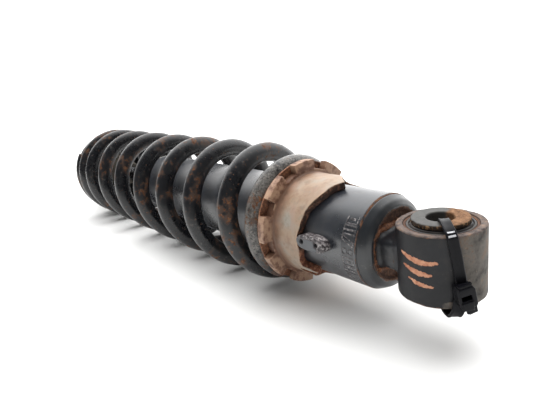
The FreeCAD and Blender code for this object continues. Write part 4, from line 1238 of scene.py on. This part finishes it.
def tie_paint():
    """Smooth black nylon with two pale dashes painted where the strap leaves the collar, as painted
    highlights for glints at the bend.
    """
    look = Look("tie_nylon", roughness=0.32, specular=0.12)
    broad = look.noise(7.0, 5.0, 0.6)
    fine = look.noise(0.8, 5.0, 0.6)
    shade = look.mix(look.step(broad, 0.40, 0.72), (0.0035, 0.0035, 0.005), (0.0075, 0.0075, 0.009))
    # The two pale dashes are painted highlights standing in for glints on the strap's bend.
    from_bend = look.do("ABSOLUTE", look.less(look.stored("along"), TIE_GLINT_DASHES))
    pair = look.do("ABSOLUTE", look.less(from_bend, 0.8))
    dash = look.times(look.step(pair, 0.42, 0.26),
                   look.step(look.do("ABSOLUTE", look.stored("across")), 1.55, 1.35))
    shade = look.mix(look.times(dash, look.step(fine, 0.30, 0.42)), shade, (0.50, 0.50, 0.52))
    return look.finish(shade, look.step(broad, 0.3, 0.7, 0.30, 0.46), look.bump(fine, 0.04, 0.5))


def build_cable_tie():
    """The nylon tie through the eye, with its head below the strap."""
    head_az = -34.2
    a = math.radians(head_az)
    out = np.array((math.cos(a), math.sin(a), 0.0))
    side = np.array((-math.sin(a), math.cos(a), 0.0))
    tilt = math.radians(11.0)
    down = np.array((0.0, 0.0, -1.0)) * math.cos(tilt) + side * math.sin(tilt)
    wide = np.cross(down, out)
    middle = out * 22.6 + np.array((0.0, 0.0, -8.0))

    def at(shift_out, shift_down, shift_wide):
        return axes_matrix(wide, down, out, middle + out * shift_out + down * shift_down + wide * shift_wide)

    shell = [(-2.9, -4.7), (2.9, -4.7), (3.6, -3.5), (3.6, 3.3), (2.9, 4.5), (-2.9, 4.5), (-3.6, 3.3),
             (-3.6, -3.5)]
    window = [(-1.6, -1.2), (2.5, -1.2), (2.5, 0.9), (-1.6, 0.9)]
    # name, outlines, half thickness, bevel, shift (outwards, downwards, sideways) and steps in the bevel
    head = [
        ("tie_head_front", [shell, window], 1.9, 0.45, (0.9, 0, 0), 2),
        ("tie_head_back", [[(u * 1.02, v) for u, v in shell]], 1.3, 0.4, (-1.6, 0, 0), 2),
        ("tie_jaw", [[(-2.4, -1.9), (2.4, -1.9), (2.7, 1.6), (-2.0, 1.9)]], 1.0, 0.35, (2.4, 3.3, 0.6), 2),
        ("tie_lip", [[(-2.9, -1.2), (2.9, -1.2), (2.3, 1.0), (-2.3, 1.0)]], 1.1, 0.4, (1.2, -4.6, 0), 2),
        ("tie_tail", [[(-2.3, -2.6), (2.3, -2.6), (2.3, 2.4), (1.2, 2.9), (-2.1, 2.4)]], 0.62, 0.2,
         (0.2, 5.9, -1.4), 1),
    ]
    pieces = [strap("tie_strap", TIE, 4.5, 1.25), strap("tie_strap_back", TIE_BACK, 5.2, 1.25)]
    for name, loops, half, bevel, shift, arc in head:
        pieces.append(crease_normals(flat_curve(name, loops, half, bevel, at(*shift), arc), 35))
    place_piece(join("cable_tie", pieces), tie_paint(), "nylon", body="damper_body")


# ------------------------------------------------------------------ studio
def build_stage():
    """The pale floor, a world that is bright behind the shock, and a broad soft light."""
    floor = bpy.data.meshes.new("studio_floor")
    size, height = 9.0, span("coil_spring")[0][2] * MM - 0.0004
    corners = ((-size, -size), (size, -size), (size, size), (-size, size))
    floor.from_pydata([(x, y, height) for x, y in corners], [], [(0, 1, 2, 3)])
    obj = bpy.data.objects.new("studio_floor", floor)
    bpy.context.scene.collection.objects.link(obj)
    look = Look("studio_floor_paint", roughness=0.75, specular=0.2)
    shade = look.mix(look.noise(60.0, 3.0), (0.72, 0.72, 0.71), (0.69, 0.69, 0.685))
    obj.data.materials.append(look.finish(shade))

    world = bpy.data.worlds.new("studio")
    bpy.context.scene.world = world
    world.use_nodes = True
    tree = world.node_tree
    back = tree.nodes["Background"]
    place = tree.nodes.new("ShaderNodeTexCoord")
    aim = tree.nodes.new("ShaderNodeVectorMath")
    aim.operation = "DOT_PRODUCT"
    aim.inputs[1].default_value = (-0.55, 0.75, 0.36)
    tree.links.new(place.outputs["Generated"], aim.inputs[0])
    spread = tree.nodes.new("ShaderNodeMapRange")
    spread.interpolation_type = "SMOOTHSTEP"
    spread.inputs["From Min"].default_value = 0.20
    spread.inputs["From Max"].default_value = 0.70
    spread.inputs["To Min"].default_value = 0.16
    spread.inputs["To Max"].default_value = 2.6
    tree.links.new(aim.outputs["Value"], spread.inputs["Value"])
    tree.links.new(spread.outputs["Result"], back.inputs["Strength"])
    back.inputs["Color"].default_value = (1.0, 1.0, 1.0, 1.0)

    data = bpy.data.lights.new("broad_softbox", "SUN")
    data.energy = 5.0
    data.angle = math.radians(80.0)
    lamp = bpy.data.objects.new("broad_softbox", data)
    lamp.rotation_euler = Vector((0.20, -0.05, -0.97)).to_track_quat("-Z", "Y").to_euler()
    lamp.visible_glossy = False
    bpy.context.scene.collection.objects.link(lamp)
    bpy.context.scene.view_settings.view_transform = "Standard"
    bpy.context.scene.view_settings.look = "None"


def build_camera():
    """The camera at the photograph's viewing angle."""
    data = bpy.data.cameras.new("camera")
    data.sensor_fit = "HORIZONTAL"
    data.sensor_width = 36.0
    data.lens = 30.743
    data.clip_start = 0.01
    data.clip_end = 60.0
    camera = bpy.data.objects.new("camera", data)
    ahead = Vector((-0.76664, 0.57094, -0.29374)).normalized()
    right = Vector((0.62236, 0.77327, -0.12132))
    right = (right - ahead * right.dot(ahead)).normalized()
    up = right.cross(ahead)
    camera.matrix_world = Matrix((
        (right.x, up.x, -ahead.x, 0.10943), (right.y, up.y, -ahead.y, -0.16851),
        (right.z, up.z, -ahead.z, 0.08992), (0, 0, 0, 1),
    ))
    bpy.context.scene.collection.objects.link(camera)
    bpy.context.scene.camera = camera


# ------------------------------------------------------------------ assembly
MATERIALS = {
    "black_enamel": enamel("enamel_plain", masks=False),
    "rusty_steel": bare_rust("weld_rust", 1.5),
    "sleeve_end": bare_rust("sleeve_end", 0.55),
    "zinc_steel": metal("zinc_steel", (0.42, 0.41, 0.39), 0.42, 0.8, 0.6),
    "seal_rubber": rubber("seal_rubber", (0.035, 0.033, 0.034), 0.5, 0.6),
    "bush_rubber": rubber("bush_rubber"),
    "bump_foam": foam("bump_foam"),
    "ptfe_band": plastic("ptfe_band", (0.16, 0.22, 0.18), 0.5, 0.2),
    "bronze": metal("bronze", (0.50, 0.33, 0.15), 0.35, 0.95, 0.3),
    "bare_aluminium": metal("bare_aluminium", (0.70, 0.71, 0.72), 0.30, 0.95, 0.15),
    "spring_steel": metal("spring_steel", (0.40, 0.41, 0.43), 0.28, 0.95, 0.15),
    "hard_chrome": metal("hard_chrome", (0.66, 0.67, 0.69), 0.10, 1.0, 0.08),
}
# base colour, gloss, chips, dust, scuffs, shine and whether chips are bright steel
for name, *settings, bright in (
    ("enamel_tube", (0.012, 0.014, 0.018), 0.24, 0.5, 0.45, 0.8, 1.0, False),
    ("enamel_cap", (0.009, 0.0105, 0.0125), 0.28, 0.45, 0.4, 0.5, 0.6, False),
    ("enamel_seam", (0.008, 0.009, 0.011), 0.35, 0.6, 0.3, 0.3, 0.5, False),
    ("enamel_neck", (0.008, 0.009, 0.011), 0.33, 0.5, 0.4, 0.5, 0.5, False),
    ("enamel_lug", (0.050, 0.053, 0.058), 0.36, 0.6, 0.2, 0.7, 0.5, True),
    ("enamel_stamp", (0.020, 0.021, 0.024), 0.30, 0.9, 0.6, 1.0, 0.7, True),
):
    MATERIALS[name] = enamel(name, *settings, bright=bright)

build_camera()
for part in frame["record"]["subparts"]:
    name = part.get("node") or part.get("name")
    slot_name = part.get("material_slot")
    if name in frame["nodes"] and slot_name in MATERIALS:
        node = frame["nodes"][name]
        node.data.materials.clear()
        node.data.materials.append(MATERIALS[slot_name])

EYES = (("body_eye", 0.0), ("rod_eye", FAR_EYE))
for eye, marked in zip(EYES, (True, False)):
    build_eye(*eye, marked)
for eye in EYES:
    seal_and_sleeve(*eye)
for eye, rusty_from in zip(EYES, (25.0, 200.0)):
    build_collars(*eye, rusty_from)
build_neck()
build_cap()
build_seam()
build_tube()
build_stamp_patch()
build_lug("cam_lug_drilled", LUG_PHI, [(-60.2, 0.0, 1.25), (-50.0, 0.0, 1.25)])
build_lug("cam_lug_plain", LUG_PHI - 180.0, [])
build_cam_ring()
build_washer()
coating = spring_paint()
spring_piece("coil_spring_upper", 0.0, CUT_TURN, coating)
spring_piece("coil_spring_lower", CUT_TURN, TURNS, coating)
build_cable_tie()
build_stage()
